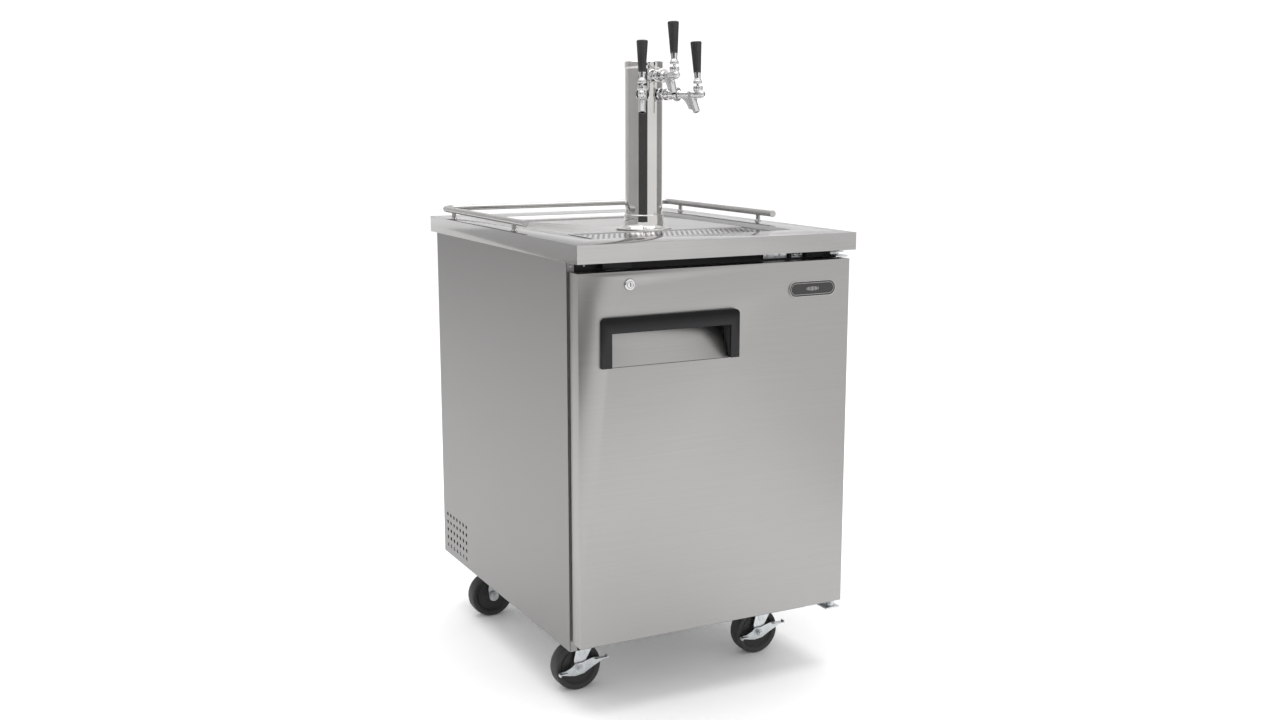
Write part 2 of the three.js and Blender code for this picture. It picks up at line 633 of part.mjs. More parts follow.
function compressor() {
  const { x, y, footX, footY } = COMPRESSOR;
  const z = FLOOR_OF_MACHINES;
  const profile = [
    [0, 22], [52, 22], [66, 34], [70, 60], [70, 92], [68, 96], [70, 100],
    [69, 130], [60, 152], [38, 164], [0, 168],
  ];
  const can = turned(profile, 18).translate(x, y, z);
  const feet = [-footX, footX].map((side) => {
    return box(x + side - 9, x + side + 9, y - 60, y + 60, z + 14, z + 26);
  });
  const legs = [];
  for (const sideX of [-footX, footX]) {
    for (const sideY of [-footY, footY]) {
      legs.push(upright(8, x + sideX, y + sideY, z, z + 20, 10));
    }
  }
  const terminal = box(x - 22, x + 22, y + 60, y + 86, z + 60, z + 104);
  return join(can, ...feet, ...legs, terminal);
}

const CONDENSER = { x: 70, y: 236, halfX: 24, halfY: 84, height: 176 };
const CONDENSER_FAN = { x: 128, z: FLOOR_OF_MACHINES + 92, radius: 70 };

function condenser() {
  const { x, y, halfX, halfY, height } = CONDENSER;
  const low = FLOOR_OF_MACHINES;
  const core = box(x - halfX, x + halfX, y - halfY, y + halfY, low, low + height);
  const fins = [];
  const [pitch, depth] = [14, 5];
  for (let z = low + 10; z < low + height - 8; z += pitch) {
    fins.push(box(x - halfX - 1, x - halfX + depth, y - halfY + 6, y + halfY - 6, z, z + 6));
  }
  const shroud = box(x + halfX - 1, x + halfX + 40, y - halfY, y + halfY, low, low + height);
  const [fanX, fanZ, radius] = [x + halfX + 6, CONDENSER_FAN.z, CONDENSER_FAN.radius + 6];
  const duct = alongX(radius, y, fanZ, fanX, x + halfX + 60, 24);
  const motor = alongX(16, y, fanZ, x + halfX - 1, x + halfX + 16, 14);
  return join(cut(join(core, shroud), duct, ...fins), motor);
}

// A cylinder along X from x0 to x1.
function alongX(radius, y, z, x0, x1, sides = 24) {
  const geometry = new THREE.CylinderGeometry(radius, radius, x1 - x0, sides).rotateZ(Math.PI / 2);
  return geometry.translate((x0 + x1) / 2, y, z);
}

// A fan facing +Z about the origin: a hub and flat pitched blades.
function fan(radius, hubRadius, blades, depth) {
  const pieces = [upright(hubRadius, 0, 0, -depth / 2, depth / 2, 16)];
  const pitchAngle = THREE.MathUtils.degToRad(28);
  for (let blade = 0; blade < blades; blade += 1) {
    const length = radius - hubRadius + 4;
    const shape = new THREE.BoxGeometry(length, radius * 0.5, 1.6).rotateX(pitchAngle);
    pieces.push(shape.translate(hubRadius - 4 + length / 2, 0, 0).rotateZ((blade * 2 * Math.PI) / blades));
  }
  return join(...pieces);
}

const EVAPORATOR = { halfX: 170, frontY: 236, lowZ: 560, highZ: 800, wall: 1.4, fanZ: 676, fanRadius: 62 };

function evaporatorCover() {
  const { halfX, frontY, lowZ, highZ, wall, fanZ, fanRadius } = EVAPORATOR;
  const back = CAVITY.backY - GAP;
  const shell = box(-halfX, halfX, frontY, back, lowZ, highZ);
  const hollow = box(-halfX + wall, halfX - wall, frontY + wall, back + 5, lowZ + wall, highZ - wall);
  const mouth = alongY(fanRadius + 4, 0, fanZ, frontY - 5, frontY + 5, 28);
  const louvres = [];
  for (let row = 0; row < 5; row += 1) {
    const z = fanZ - 50 + row * 24;
    louvres.push(box(-150, -86, frontY - 5, frontY + 5, z, z + 7));
    louvres.push(box(86, 150, frontY - 5, frontY + 5, z, z + 7));
  }
  return cut(shell, hollow, mouth, ...louvres);
}

function evaporatorCoil() {
  const core = box(-150, 150, 274, CAVITY.backY - GAP, 580, 780);
  const grooves = [];
  for (let x = -132; x < 140; x += 24) {
    grooves.push(box(x, x + 8, 270, 280, 570, 790));
  }
  const motor = alongY(17, 0, EVAPORATOR.fanZ, 258, 276, 14);
  return join(cut(core, ...grooves), motor);
}

const THERMOSTAT = { x: 205, y: -180, halfX: 34, halfY: 40, height: 34, knobRadius: 15 };

function thermostatHousing() {
  const { x, y, halfX, halfY, height } = THERMOSTAT;
  const top = CAVITY.ceilingZ - GAP;
  return box(x - halfX, x + halfX, y - halfY, y + halfY, top - height, top);
}

function thermostatKnob() {
  const { x, y, halfY, height, knobRadius } = THERMOSTAT;
  const z = CAVITY.ceilingZ - GAP - height / 2;
  const front = y - halfY - GAP;
  const dial = alongY(knobRadius, x, z, front - 4, front, 20);
  const grip = box(x - 3, x + 3, front - 13, front - 3, z - knobRadius + 2, z + knobRadius - 2);
  return join(dial, grip);
}

function powerInlet() {
  const { x, z, halfX, halfZ, depth } = POWER_INLET;
  const face = BODY_BACK_Y + GAP;
  const body = box(x - halfX, x + halfX, face, face + depth, z - halfZ, z + halfZ);
  const [socketX, socketZ] = [halfX - 11, halfZ - 9];
  const socket = box(x - socketX, x + socketX, face + 1.2, face + 2 * depth, z - socketZ, z + socketZ);
  return cut(body, socket);
}

// ---- casters ------------------------------------------------------------------------------
// Every caster piece is drawn about its swivel axis, with the wheel trailing to -X.
function casterPlate() {
  const { halfX, halfY, thickness } = CASTER_PLATE;
  const outline = rounded(-halfX, halfX, -halfY, halfY, 6);
  for (const x of [-36, 36]) {
    for (const y of [-23, 23]) {
      const hole = new THREE.Path();
      hole.absarc(x, y, 4.3, 0, 2 * Math.PI, true);
      outline.holes.push(hole);
    }
  }
  const top = BODY_BOTTOM_Z - GAP;
  const plate = slabZ(outline, top - thickness, top, 3);
  return join(plate, upright(20, 0, 0, FORK.topZ + GAP, top - 1, 18));
}

function casterFork() {
  const { ringRadius, cheek, innerY, topZ } = FORK;
  const ring = upright(ringRadius, 0, 0, topZ - 12, topZ, 22);
  const crown = box(-ringRadius, 20, -innerY - cheek, innerY + cheek, topZ - 15, topZ - 9);
  const wheelX = -CASTER.trail;
  const axleZ = CASTER.wheelRadius;
  const outline = polygon([
    [wheelX - 9, axleZ - 8], [wheelX + 9, axleZ - 8], [wheelX + 14, axleZ + 6], [ringRadius - 2, topZ - 12],
    [ringRadius - 4, topZ - 9], [-ringRadius, topZ - 9], [wheelX - 12, axleZ + 8],
  ]);
  const near = slabY(outline, -innerY - cheek, -innerY);
  const far = slabY(outline, innerY, innerY + cheek);
  const axle = alongY(AXLE_RADIUS, wheelX, axleZ, -innerY - 13, innerY + 7, 10);
  return join(ring, crown, near, far, axle, alongY(9, wheelX, axleZ, innerY + 1, innerY + 8, 6));
}

function casterWheel() {
  const [radius, half, bore] = [CASTER.wheelRadius, CASTER.wheelWidth / 2, AXLE_RADIUS + 0.4];
  const [rim, face] = [37, half - 1];
  const profile = [
    [bore, -face], [14, -face], [15, -half + 5], [rim, -half + 5], [rim + 2, -face], [radius - 3, -half],
    [radius, -half + 4], [radius, half - 4], [radius - 3, half], [rim + 2, face], [rim, half - 5],
    [15, half - 5], [14, face], [bore, face], [bore, -face],
  ];
  const wheel = turned(profile, 22).rotateX(Math.PI / 2);
  return wheel.translate(-CASTER.trail, 0, radius);
}

// A stamped lever across the wheel's outer face, with a foot pad at each end.
function brakeLever() {
  const [x, z] = [-CASTER.trail, CASTER.wheelRadius];
  const outline = polygon([
    [-44, -10], [-20, -13], [-9, -15], [9, -12], [40, 3], [56, 12], [50, 16], [28, 17], [12, 13], [-10, 11],
    [-18, 4], [-38, -3], [-46, -4],
  ]);
  const faceY = -FORK.innerY - FORK.cheek - 1.2;
  const plate = slabY(outline, faceY - 2.4, faceY);
  const rightPad = slabZ(rectangle(30, 58, faceY - 13, faceY), 13.5, 16);
  const leftPad = slabZ(rectangle(-46, -28, faceY - 11, faceY), -5.5, -3.5);
  const bore = alongY(AXLE_RADIUS + 0.4, 0, 0, faceY - 20, faceY + 5, 12);
  return cut(join(plate, rightPad, leftPad), bore).translate(x, 0, z);
}

const CASTER_PLACES = {
  front_left: [-CASTER.x, CASTER.frontY],
  front_right: [CASTER.x, CASTER.frontY],
  rear_left: [-CASTER.x, CASTER.rearY],
  rear_right: [CASTER.x, CASTER.rearY],
};

function addCaster(place) {
  const [x, y] = CASTER_PLACES[place];
  const caster = [
    add(`caster_plate_${place}`, casterPlate(), "zinc"),
    add(`caster_fork_${place}`, casterFork(), "zinc"),
    add(`caster_wheel_${place}`, casterWheel(), "rubber"),
  ];
  if (place.startsWith("front")) {
    caster.push(add(`brake_lever_${place}`, brakeLever(), "zinc"));
  }
  for (const piece of caster) {
    piece.position.set(x, y, 0);
  }
}

// ---- assembly -----------------------------------------------------------------------------
add("left_side_panel", leftSidePanel(), "steel");
add("right_side_panel", mirrored(leftSidePanel()), "steel");
add("back_panel", backPanel(), "galvanised");
add("rear_grille", rearGrille(), "galvanised");
add("base_pan", basePan(), "galvanised");
add("front_frame", frontFrame(), "black");
add("inner_liner", innerLiner(), "white");
add("insulation", insulation(), "foam");
add("worktop", worktop(), "polished");
add("drip_pan", dripPan(), "polished");
add("drip_grille", dripGrille(), "polished");
add("guard_rail", guardRail(), "steel");
add("tower_column", towerColumn(), "polished");
add("tower_cap", towerCap(), "polished");
for (const tap of TAPS) {
  add(`tap_shank_${tap.name}`, placeTap(tapShank(), tap), "chrome");
  add(`faucet_body_${tap.name}`, placeTap(faucetBody(), tap), "chrome");
  add(`tap_lever_${tap.name}`, placeTap(tapLever(), tap), "chrome");
  add(`tap_handle_${tap.name}`, placeTap(tapHandle(), tap), "black");
}
add("door_skin", doorSkin(), "steel");
add("door_liner", doorLiner(), "white");
add("door_gasket", doorGasket(), "rubber");
add("door_handle", doorHandle(), "black");
add("handle_pocket", handlePocket(), "steel");
add("lock_body", lockBody(), "chrome");
add("lock_cylinder", lockCylinder(), "chrome");
add("badge", badge(), "black");
add("upper_hinge_bracket", upperHingeBracket(), "zinc");
add("lower_hinge_bracket", lowerHingeBracket(), "zinc");
add("lock_strike", lockStrike(), "black");
add("compressor", compressor(), "black");
add("condenser", condenser(), "coil");
const condenserFan = fan(CONDENSER_FAN.radius, 18, 5, 14).rotateY(Math.PI / 2);
add("condenser_fan", condenserFan.translate(CONDENSER_FAN.x, CONDENSER.y, CONDENSER_FAN.z), "black");
add("evaporator_cover", evaporatorCover(), "white");
add("evaporator_coil", evaporatorCoil(), "coil");
const evaporatorFan = fan(EVAPORATOR.fanRadius - 4, 16, 5, 12).rotateX(Math.PI / 2);
add("evaporator_fan", evaporatorFan.translate(0, 249, EVAPORATOR.fanZ), "black");
add("thermostat_housing", thermostatHousing(), "white");
add("thermostat_knob", thermostatKnob(), "black");
add("power_inlet", powerInlet(), "black");
for (const place of Object.keys(CASTER_PLACES)) {
  addCaster(place);
}

export default model;
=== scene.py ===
"""Looks of a single-keg draft beer cooler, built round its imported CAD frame.

Shapes are drawn in millimetres and scaled to metres when they become meshes. X is right, -Y is the
front with the door, and Z is up.
"""

import json
import math
import bmesh
import bpy
from mathutils import Matrix, Vector


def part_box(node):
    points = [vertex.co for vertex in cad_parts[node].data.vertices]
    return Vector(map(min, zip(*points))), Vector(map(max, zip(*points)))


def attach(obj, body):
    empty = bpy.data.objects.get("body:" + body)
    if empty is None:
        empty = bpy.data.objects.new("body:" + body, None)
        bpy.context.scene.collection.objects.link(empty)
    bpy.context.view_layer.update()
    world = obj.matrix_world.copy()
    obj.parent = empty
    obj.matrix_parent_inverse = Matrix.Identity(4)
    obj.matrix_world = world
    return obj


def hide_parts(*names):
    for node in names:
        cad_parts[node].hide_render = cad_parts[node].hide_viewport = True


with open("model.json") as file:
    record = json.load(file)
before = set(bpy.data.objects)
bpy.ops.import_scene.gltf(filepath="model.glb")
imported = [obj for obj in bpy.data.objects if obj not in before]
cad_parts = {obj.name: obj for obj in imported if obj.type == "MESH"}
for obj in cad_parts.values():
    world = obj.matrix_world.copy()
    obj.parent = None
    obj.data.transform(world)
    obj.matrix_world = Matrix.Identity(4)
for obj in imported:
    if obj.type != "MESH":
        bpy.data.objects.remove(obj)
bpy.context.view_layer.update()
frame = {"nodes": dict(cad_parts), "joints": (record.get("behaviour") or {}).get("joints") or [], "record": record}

MM = 0.001
NODES = frame["nodes"]
JOINTS = {joint["name"]: joint for joint in frame["joints"]}
BODY_OF = {node: body for body, nodes in frame["record"]["behaviour"]["bodies"].items() for node in nodes}
SLOT_OF = {part["node"]: part["material_slot"] for part in frame["record"]["subparts"]}
TAP_SIDES = ("left", "centre", "right")
CASTERS = ("front_left", "front_right", "rear_left", "rear_right")


# ---- places -------------------------------------------------------------------------------
def extent(node):
    """The lowest and highest corner of a CAD node, in millimetres."""
    low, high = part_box(node)
    return low / MM, high / MM


def shift(x, y, z):
    return Matrix.Translation(Vector((x, y, z)))


def turn(degrees, axis):
    return Matrix.Rotation(math.radians(degrees), 4, axis)


def joint_point(name):
    return Vector(JOINTS[name]["pos_m"]) / MM


TO_FRONT = turn(90, "X")  # a shape's +Z points to the front, and its +Y up
TO_BACK = turn(-90, "X")
DOWN = turn(180, "X")


# ---- materials ----------------------------------------------------------------------------
def finish(name, dark, light, rough, metallic=0.0, grain=(60, 60, 60), patches=5.0, bump=0.2,
           depth=0.05, cells=False, wear=None, **constants):
    """A procedural material: fine stretched grain over large soft patches, in colour, gloss and bump."""
    material = bpy.data.materials.new(name)
    material.use_nodes = True
    nodes, links = material.node_tree.nodes, material.node_tree.links
    shader = nodes["Principled BSDF"]
    shader.inputs["Metallic"].default_value = metallic
    for socket, value in constants.items():
        shader.inputs[socket.replace("_", " ")].default_value = value
    place = nodes.new("ShaderNodeTexCoord").outputs["Object"]
    stretch = nodes.new("ShaderNodeMapping")
    stretch.inputs["Scale"].default_value = grain
    links.new(place, stretch.inputs["Vector"])
    fine = nodes.new("ShaderNodeTexVoronoi" if cells else "ShaderNodeTexNoise")
    fine.inputs["Scale"].default_value = 1.0
    fine.inputs["Detail"].default_value = 0.0 if cells else 5.0
    links.new(stretch.outputs["Vector"], fine.inputs["Vector"])
    broad = nodes.new("ShaderNodeTexNoise")
    broad.inputs["Scale"].default_value = patches
    broad.inputs["Detail"].default_value = 4.0
    links.new(place, broad.inputs["Vector"])
    fine_value = fine.outputs["Color"] if cells else fine.outputs[0]
    blend = nodes.new("ShaderNodeMix")
    blend.inputs["Factor"].default_value = 0.45
    links.new(fine_value, blend.inputs["A"])
    links.new(broad.outputs[0], blend.inputs["B"])
    ramp = nodes.new("ShaderNodeValToRGB")
    ramp.color_ramp.elements[0].position = 0.32
    ramp.color_ramp.elements[1].position = 0.68
    ramp.color_ramp.elements[0].color = (*dark, 1)
    ramp.color_ramp.elements[1].color = (*light, 1)
    links.new(blend.outputs["Result"], ramp.inputs["Fac"])
    colour = ramp.outputs["Color"]
    if wear:
        edges = nodes.new("ShaderNodeNewGeometry").outputs["Pointiness"]
        worn = nodes.new("ShaderNodeMapRange")
        worn.inputs["From Min"].default_value = 0.52
        worn.inputs["From Max"].default_value = 0.62
        worn.inputs["To Max"].default_value = 0.7
        links.new(edges, worn.inputs["Value"])
        rubbed = nodes.new("ShaderNodeMix")
        rubbed.data_type = "RGBA"
        links.new(worn.outputs["Result"], rubbed.inputs["Factor"])
        links.new(colour, rubbed.inputs[6])
        rubbed.inputs[7].default_value = (*wear, 1)
        colour = rubbed.outputs[2]
    links.new(colour, shader.inputs["Base Color"])
    gloss = nodes.new("ShaderNodeMapRange")
    gloss.inputs["From Min"].default_value = 0.3
    gloss.inputs["From Max"].default_value = 0.7
    gloss.inputs["To Min"].default_value = rough[0]
    gloss.inputs["To Max"].default_value = rough[1]
    links.new(blend.outputs["Result"], gloss.inputs["Value"])
    links.new(gloss.outputs["Result"], shader.inputs["Roughness"])
    relief = nodes.new("ShaderNodeBump")
    relief.inputs["Strength"].default_value = bump
    relief.inputs["Distance"].default_value = depth * MM
    links.new(fine_value, relief.inputs["Height"])
    links.new(relief.outputs["Normal"], shader.inputs["Normal"])
    return material


def grey(value, warm=0.0):
    return (value * (1 + warm), value, value * (1 - warm))


ALONG_X = (5, 900, 900)
ALONG_Y = (900, 5, 900)
ALONG_Z = (1100, 1100, 4)
FINISHES = {
    "door_steel": finish("brushed_door_steel", grey(0.345, 0.018), grey(0.378, 0.018), (0.33, 0.40), 1.0,
                         ALONG_X, 2.0, 0.10, 0.02, Anisotropic=0.3),
    # painted shade: the side panels are the door's brushed steel, given a darker colour that stands in for the
    # shade on the sides
    "painted_shade_side_steel": finish("brushed_steel_painted_side_shade", grey(0.240, 0.015), grey(0.266, 0.015), (0.34, 0.42), 1.0,
                         ALONG_Y, 2.0, 0.10, 0.02, Anisotropic=0.3),
    "worktop_steel": finish("polished_worktop_steel", grey(0.35, 0.012), grey(0.40, 0.012), (0.08, 0.14), 1.0,
                            ALONG_X, 7.0, 0.05, 0.015),
    "tower_steel": finish("polished_tower_steel", grey(0.52, 0.025), grey(0.60, 0.025), (0.05, 0.10), 1.0,
                          ALONG_Z, 12.0, 0.04, 0.01),
    "rail_steel": finish("satin_rail_steel", grey(0.40, 0.02), grey(0.48, 0.02), (0.16, 0.26), 1.0,
                         (700, 700, 700), 14.0, 0.06, 0.02),
    "chrome": finish("tap_chrome", grey(0.56), grey(0.64), (0.03, 0.08), 1.0,
                     (240, 240, 240), 30.0, 0.03, 0.02),
    "zinc": finish("zinc_plate", (0.50, 0.53, 0.55), (0.68, 0.70, 0.71), (0.24, 0.42), 1.0,
                   (160, 160, 160), 40.0, 0.10, 0.05, wear=(0.78, 0.79, 0.80)),
    "galvanised": finish("galvanised_sheet", (0.46, 0.465, 0.465), (0.535, 0.54, 0.54), (0.32, 0.55), 0.9,
                         (110, 110, 110), 8.0, 0.08, 0.04, cells=True),
    "black_plastic": finish("moulded_black", grey(0.006), grey(0.012), (0.36, 0.48), 0.0,
                            (1400, 1400, 1400), 18.0, 0.18, 0.05, wear=(0.04, 0.04, 0.042),
                            Specular_IOR_Level=0.06),
    "handle_black": finish("tap_handle_black", grey(0.010), grey(0.022), (0.32, 0.46), 0.0,
                           (900, 900, 60), 25.0, 0.16, 0.06, wear=(0.07, 0.07, 0.072)),
    "badge_black": finish("badge_enamel", grey(0.006), grey(0.011), (0.12, 0.20), 0.0,
                          (500, 500, 500), 20.0, 0.04, 0.02, Coat_Weight=0.4),
    "rubber": finish("gasket_rubber", grey(0.012), grey(0.024), (0.62, 0.8), 0.0,
                     (800, 800, 800), 15.0, 0.3, 0.08),
    "tread": finish("wheel_rubber", grey(0.009), grey(0.022), (0.42, 0.66), 0.0,
                    (500, 500, 500), 20.0, 0.25, 0.1, wear=(0.055, 0.053, 0.05)),
    "liner": finish("white_liner", grey(0.74, 0.01), grey(0.82, 0.01), (0.26, 0.38), 0.0,
                    (220, 220, 220), 4.0, 0.10, 0.06),
    "foam": finish("cut_foam", (0.62, 0.53, 0.32), (0.78, 0.70, 0.47), (0.85, 0.95), 0.0,
                   (420, 420, 420), 9.0, 0.6, 0.3, cells=True),
    "enamel": finish("compressor_enamel", grey(0.010), grey(0.020), (0.22, 0.36), 0.0,
                     (260, 260, 260), 12.0, 0.16, 0.08, wear=(0.10, 0.095, 0.09), Coat_Weight=0.3),
    # black paint, also painted shade: the front frame is made black partly to stand in for the shade under the
    # worktop's overhang
    "black_paint_and_painted_shade": finish("black_frame_paint_and_painted_shade", grey(0.007), grey(0.011), (0.34, 0.44), 0.0,
                          (700, 700, 700), 20.0, 0.08, 0.03, Specular_IOR_Level=0.25),
    "coil": finish("finned_coil", grey(0.40), grey(0.60), (0.35, 0.55), 0.9,
                   (30, 30, 900), 10.0, 0.5, 0.2),
    "copper": finish("copper_tube", (0.55, 0.25, 0.13), (0.72, 0.37, 0.20), (0.22, 0.42), 1.0,
                     (180, 180, 180), 25.0, 0.10, 0.05),
}


# ---- shapes -------------------------------------------------------------------------------
def lathe(bm, profile, at=Matrix(), sides=64, ripple=None):
    """Turns (radius, height) points about +Z. A profile closes on the axis or on its first point."""
    rings = []
    closed = profile[0] == profile[-1] and profile[0][0] > 0
    for radius, height in profile[:-1] if closed else profile:
        if radius == 0:
            rings.append([bm.verts.new(at @ Vector((0, 0, height)))])
            continue
        ring = []
        for side in range(sides):
            angle = 2 * math.pi * side / sides
            r = radius + (ripple(angle, radius, height) if ripple else 0)
            ring.append(bm.verts.new(at @ Vector((r * math.cos(angle), r * math.sin(angle), height))))
        rings.append(ring)
    pairs = list(zip(rings, rings[1:])) + ([(rings[-1], rings[0])] if closed else [])
    for low, high in pairs:
        for side in range(sides):
            after = (side + 1) % sides
            turns = zip((low, low, high, high), (side, after, after, side))
            corners = [ring[index % len(ring)] for ring, index in turns]
            bm.faces.new(list(dict.fromkeys(corners)))
    return bm


def tube(bm, points, radius, sides=24):
    """A round tube through points, with flat ends."""
    points = [Vector(p) for p in points]
    rings, normal = [], None
    for i, point in enumerate(points):
        along = (points[min(i + 1, len(points) - 1)] - points[max(i - 1, 0)]).normalized()
        if normal is None:
            normal = along.orthogonal().normalized()
        normal = (normal - along * normal.dot(along)).normalized()
        across = along.cross(normal)
        ring = []
        for side in range(sides):
            angle = 2 * math.pi * side / sides
            ring.append(bm.verts.new(point + radius * (math.cos(angle) * normal + math.sin(angle) * across)))
        rings.append(ring)
    for low, high in zip(rings, rings[1:]):
        for side in range(sides):
            after = (side + 1) % sides
            bm.faces.new([low[side], low[after], high[after], high[side]])
    bm.faces.new(rings[0][::-1])
    bm.faces.new(rings[-1])
    return bm


def plate(bm, outline, thickness, at=Matrix(), holes=()):
    """A flat plate from z 0 up, with an outline and holes given as (x, y) loops."""
    part = bmesh.new()
    edges = []
    for loop in (outline, *holes):
        verts = [part.verts.new((x, y, 0)) for x, y in loop]
        edges += [part.edges.new((a, b)) for a, b in zip(verts, verts[1:] + verts[:1])]
    if holes:
        bmesh.ops.triangle_fill(part, use_beauty=True, use_dissolve=False, edges=edges)
    else:
        part.faces.new(part.verts)
    lifted = bmesh.ops.extrude_face_region(part, geom=part.faces[:], use_keep_orig=True)
    top = [v for v in lifted["geom"] if isinstance(v, bmesh.types.BMVert)]
    bmesh.ops.translate(part, verts=top, vec=(0, 0, thickness))
    bmesh.ops.recalc_face_normals(part, faces=part.faces)
    return merge(bm, part, at)


def merge(bm, part, at=Matrix()):
    part.transform(at)
    data = bpy.data.meshes.new("part")
    part.to_mesh(data)
    part.free()
    bm.from_mesh(data)
    bpy.data.meshes.remove(data)
    return bm


def block(bm, x0, x1, y0, y1, z0, z1, at=Matrix()):
    return plate(bm, [(x0, y0), (x1, y0), (x1, y1), (x0, y1)], z1 - z0, at @ shift(0, 0, z0))


def circle(x, y, radius, sides=24):
    angles = [2 * math.pi * i / sides for i in range(sides)]
    return [(x + radius * math.cos(a), y + radius * math.sin(a)) for a in angles]


def rounded(x0, x1, y0, y1, radius, steps=6):
    points = []
    for cx, cy, start in ((x1, y0, -90), (x1, y1, 0), (x0, y1, 90), (x0, y0, 180)):
        for step in range(steps + 1):
            angle = math.radians(start + 90 * step / steps)
            points.append((cx + (radius if cx == x0 else -radius) + radius * math.cos(angle),
                           cy + (radius if cy == y0 else -radius) + radius * math.sin(angle)))
    return points


def to_mesh(bm, name):
    bmesh.ops.recalc_face_normals(bm, faces=bm.faces)
    bm.transform(Matrix.Scale(MM, 4))
    mesh = bpy.data.meshes.new(name)
    bm.to_mesh(mesh)
    bm.free()
    return mesh


def metres(matrix):
    """The same placement, with its shift in metres."""
    placed = matrix.copy()
    placed.translation = matrix.translation * MM
    return placed


def piece(name, shape, body, look, nodes=(), at=Matrix(), bevel=0.0, crease=32, segments=2):
    """A visible piece from a shape, on a body, in a finish, standing for CAD nodes."""
    mesh = shape if isinstance(shape, bpy.types.Mesh) else to_mesh(shape, name)
    if not mesh.materials:
        mesh.materials.append(FINISHES[look])
    obj = bpy.data.objects.new(name, mesh)
    bpy.context.scene.collection.objects.link(obj)
    obj.matrix_world = metres(at)
    mesh.shade_smooth()
    if bevel:
        edges = obj.modifiers.new("edges", "BEVEL")
        edges.width = bevel * MM
        edges.segments = segments
        edges.limit_method = "ANGLE"
        edges.angle_limit = math.radians(crease)
        edges.harden_normals = True
        edges.use_clamp_overlap = True
    else:
        mesh.set_sharp_from_angle(angle=math.radians(crease))
    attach(obj, body)
    if nodes:
        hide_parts(*nodes)
    return obj


def refined(node, look, bevel=0.5, crease=32, segments=2):
    """A CAD node again, with its flats joined and its edges softly rounded."""
    bm = bmesh.new()
    bm.from_mesh(NODES[node].data)
    bmesh.ops.remove_doubles(bm, verts=bm.verts, dist=0.01 * MM)
    bmesh.ops.dissolve_limit(bm, angle_limit=math.radians(0.5), verts=bm.verts, edges=bm.edges)
    bm.transform(Matrix.Scale(1 / MM, 4))
    return piece(f"{node}_finished", bm, BODY_OF[node], look, [node], bevel=bevel, crease=crease,
                 segments=segments)


def evaluated(obj):
    """The mesh of an object with its modifiers applied. The object is removed."""
    bpy.context.view_layer.update()
    mesh = bpy.data.meshes.new_from_object(obj.evaluated_get(bpy.context.evaluated_depsgraph_get()))
    bpy.data.objects.remove(obj)
    return mesh


def fused(bm, name, voxel, smoothing, cuts=None):
    """Overlapping closed shapes melted into one cast body, with small fillets, and then drilled."""
    obj = bpy.data.objects.new(name, to_mesh(bm, name))
    bpy.context.scene.collection.objects.link(obj)
    remesh = obj.modifiers.new("fuse", "REMESH")
    remesh.mode = "VOXEL"
    remesh.voxel_size = voxel * MM
    soften = obj.modifiers.new("soften", "SMOOTH")
    soften.factor = 0.5
    soften.iterations = smoothing
    mesh = evaluated(obj)
    if cuts is None:
        return mesh
    tool = bpy.data.objects.new("tool", to_mesh(cuts, "tool"))
    obj = bpy.data.objects.new(name, mesh)
    for part in (tool, obj):
        bpy.context.scene.collection.objects.link(part)
    drill = obj.modifiers.new("drill", "BOOLEAN")
    drill.operation = "DIFFERENCE"
    drill.solver = "EXACT"
    drill.object = tool
    mesh = evaluated(obj)
    bpy.data.objects.remove(tool)
    return mesh


# ---- fasteners ----------------------------------------------------------------------------
def screw_shape(radius):
    """A pan head with a cross recess, its seat at z 0."""
    bm = bmesh.new()
    high = radius * 0.55
    lathe(bm, [(0, -0.2), (radius, -0.2), (radius, high * 0.35), (radius * 0.86, high * 0.75),
               (radius * 0.5, high * 0.97), (0, high)], sides=32)
    head = bpy.data.objects.new("head", to_mesh(bm, "head"))
    tool = bmesh.new()
    arm, slot = radius * 0.55, radius * 0.13
    block(tool, -arm, arm, -slot, slot, high * 0.35, high + 1)
    cross = bmesh.new()
    block(cross, -slot, slot, -arm, arm, high * 0.35, high + 1)
    tools = [bpy.data.objects.new("tool", to_mesh(part, "tool")) for part in (tool, cross)]
    for obj in (head, *tools):
        bpy.context.scene.collection.objects.link(obj)
    for obj in tools:
        cut = head.modifiers.new("cross", "BOOLEAN")
        cut.operation = "DIFFERENCE"
        cut.object = obj
    mesh = evaluated(head)
    for obj in tools:
        bpy.data.objects.remove(obj)
    return mesh


def hex_bolt(bm, radius, height, at=Matrix()):
    """A hexagon head with a chamfered top and a washer under it."""
    lathe(bm, [(0, 0), (radius * 1.35, 0), (radius * 1.35, 1), (0, 1)], at, 32)
    lathe(bm, [(0, 0.9), (radius, 0.9), (radius, height - 0.8), (radius * 0.86, height), (0, height)], at, 6)


SCREW = screw_shape(3.6)
SMALL_SCREW = screw_shape(2.4)


def screws(name, places, facing, body, look="zinc", shape=SCREW):
    mesh = shape.copy()
    for index, place in enumerate(places):
        spin = turn(37 * index, "Z")
        piece(f"{name}_{index + 1}", mesh, body, look, at=shift(*place) @ facing @ spin)


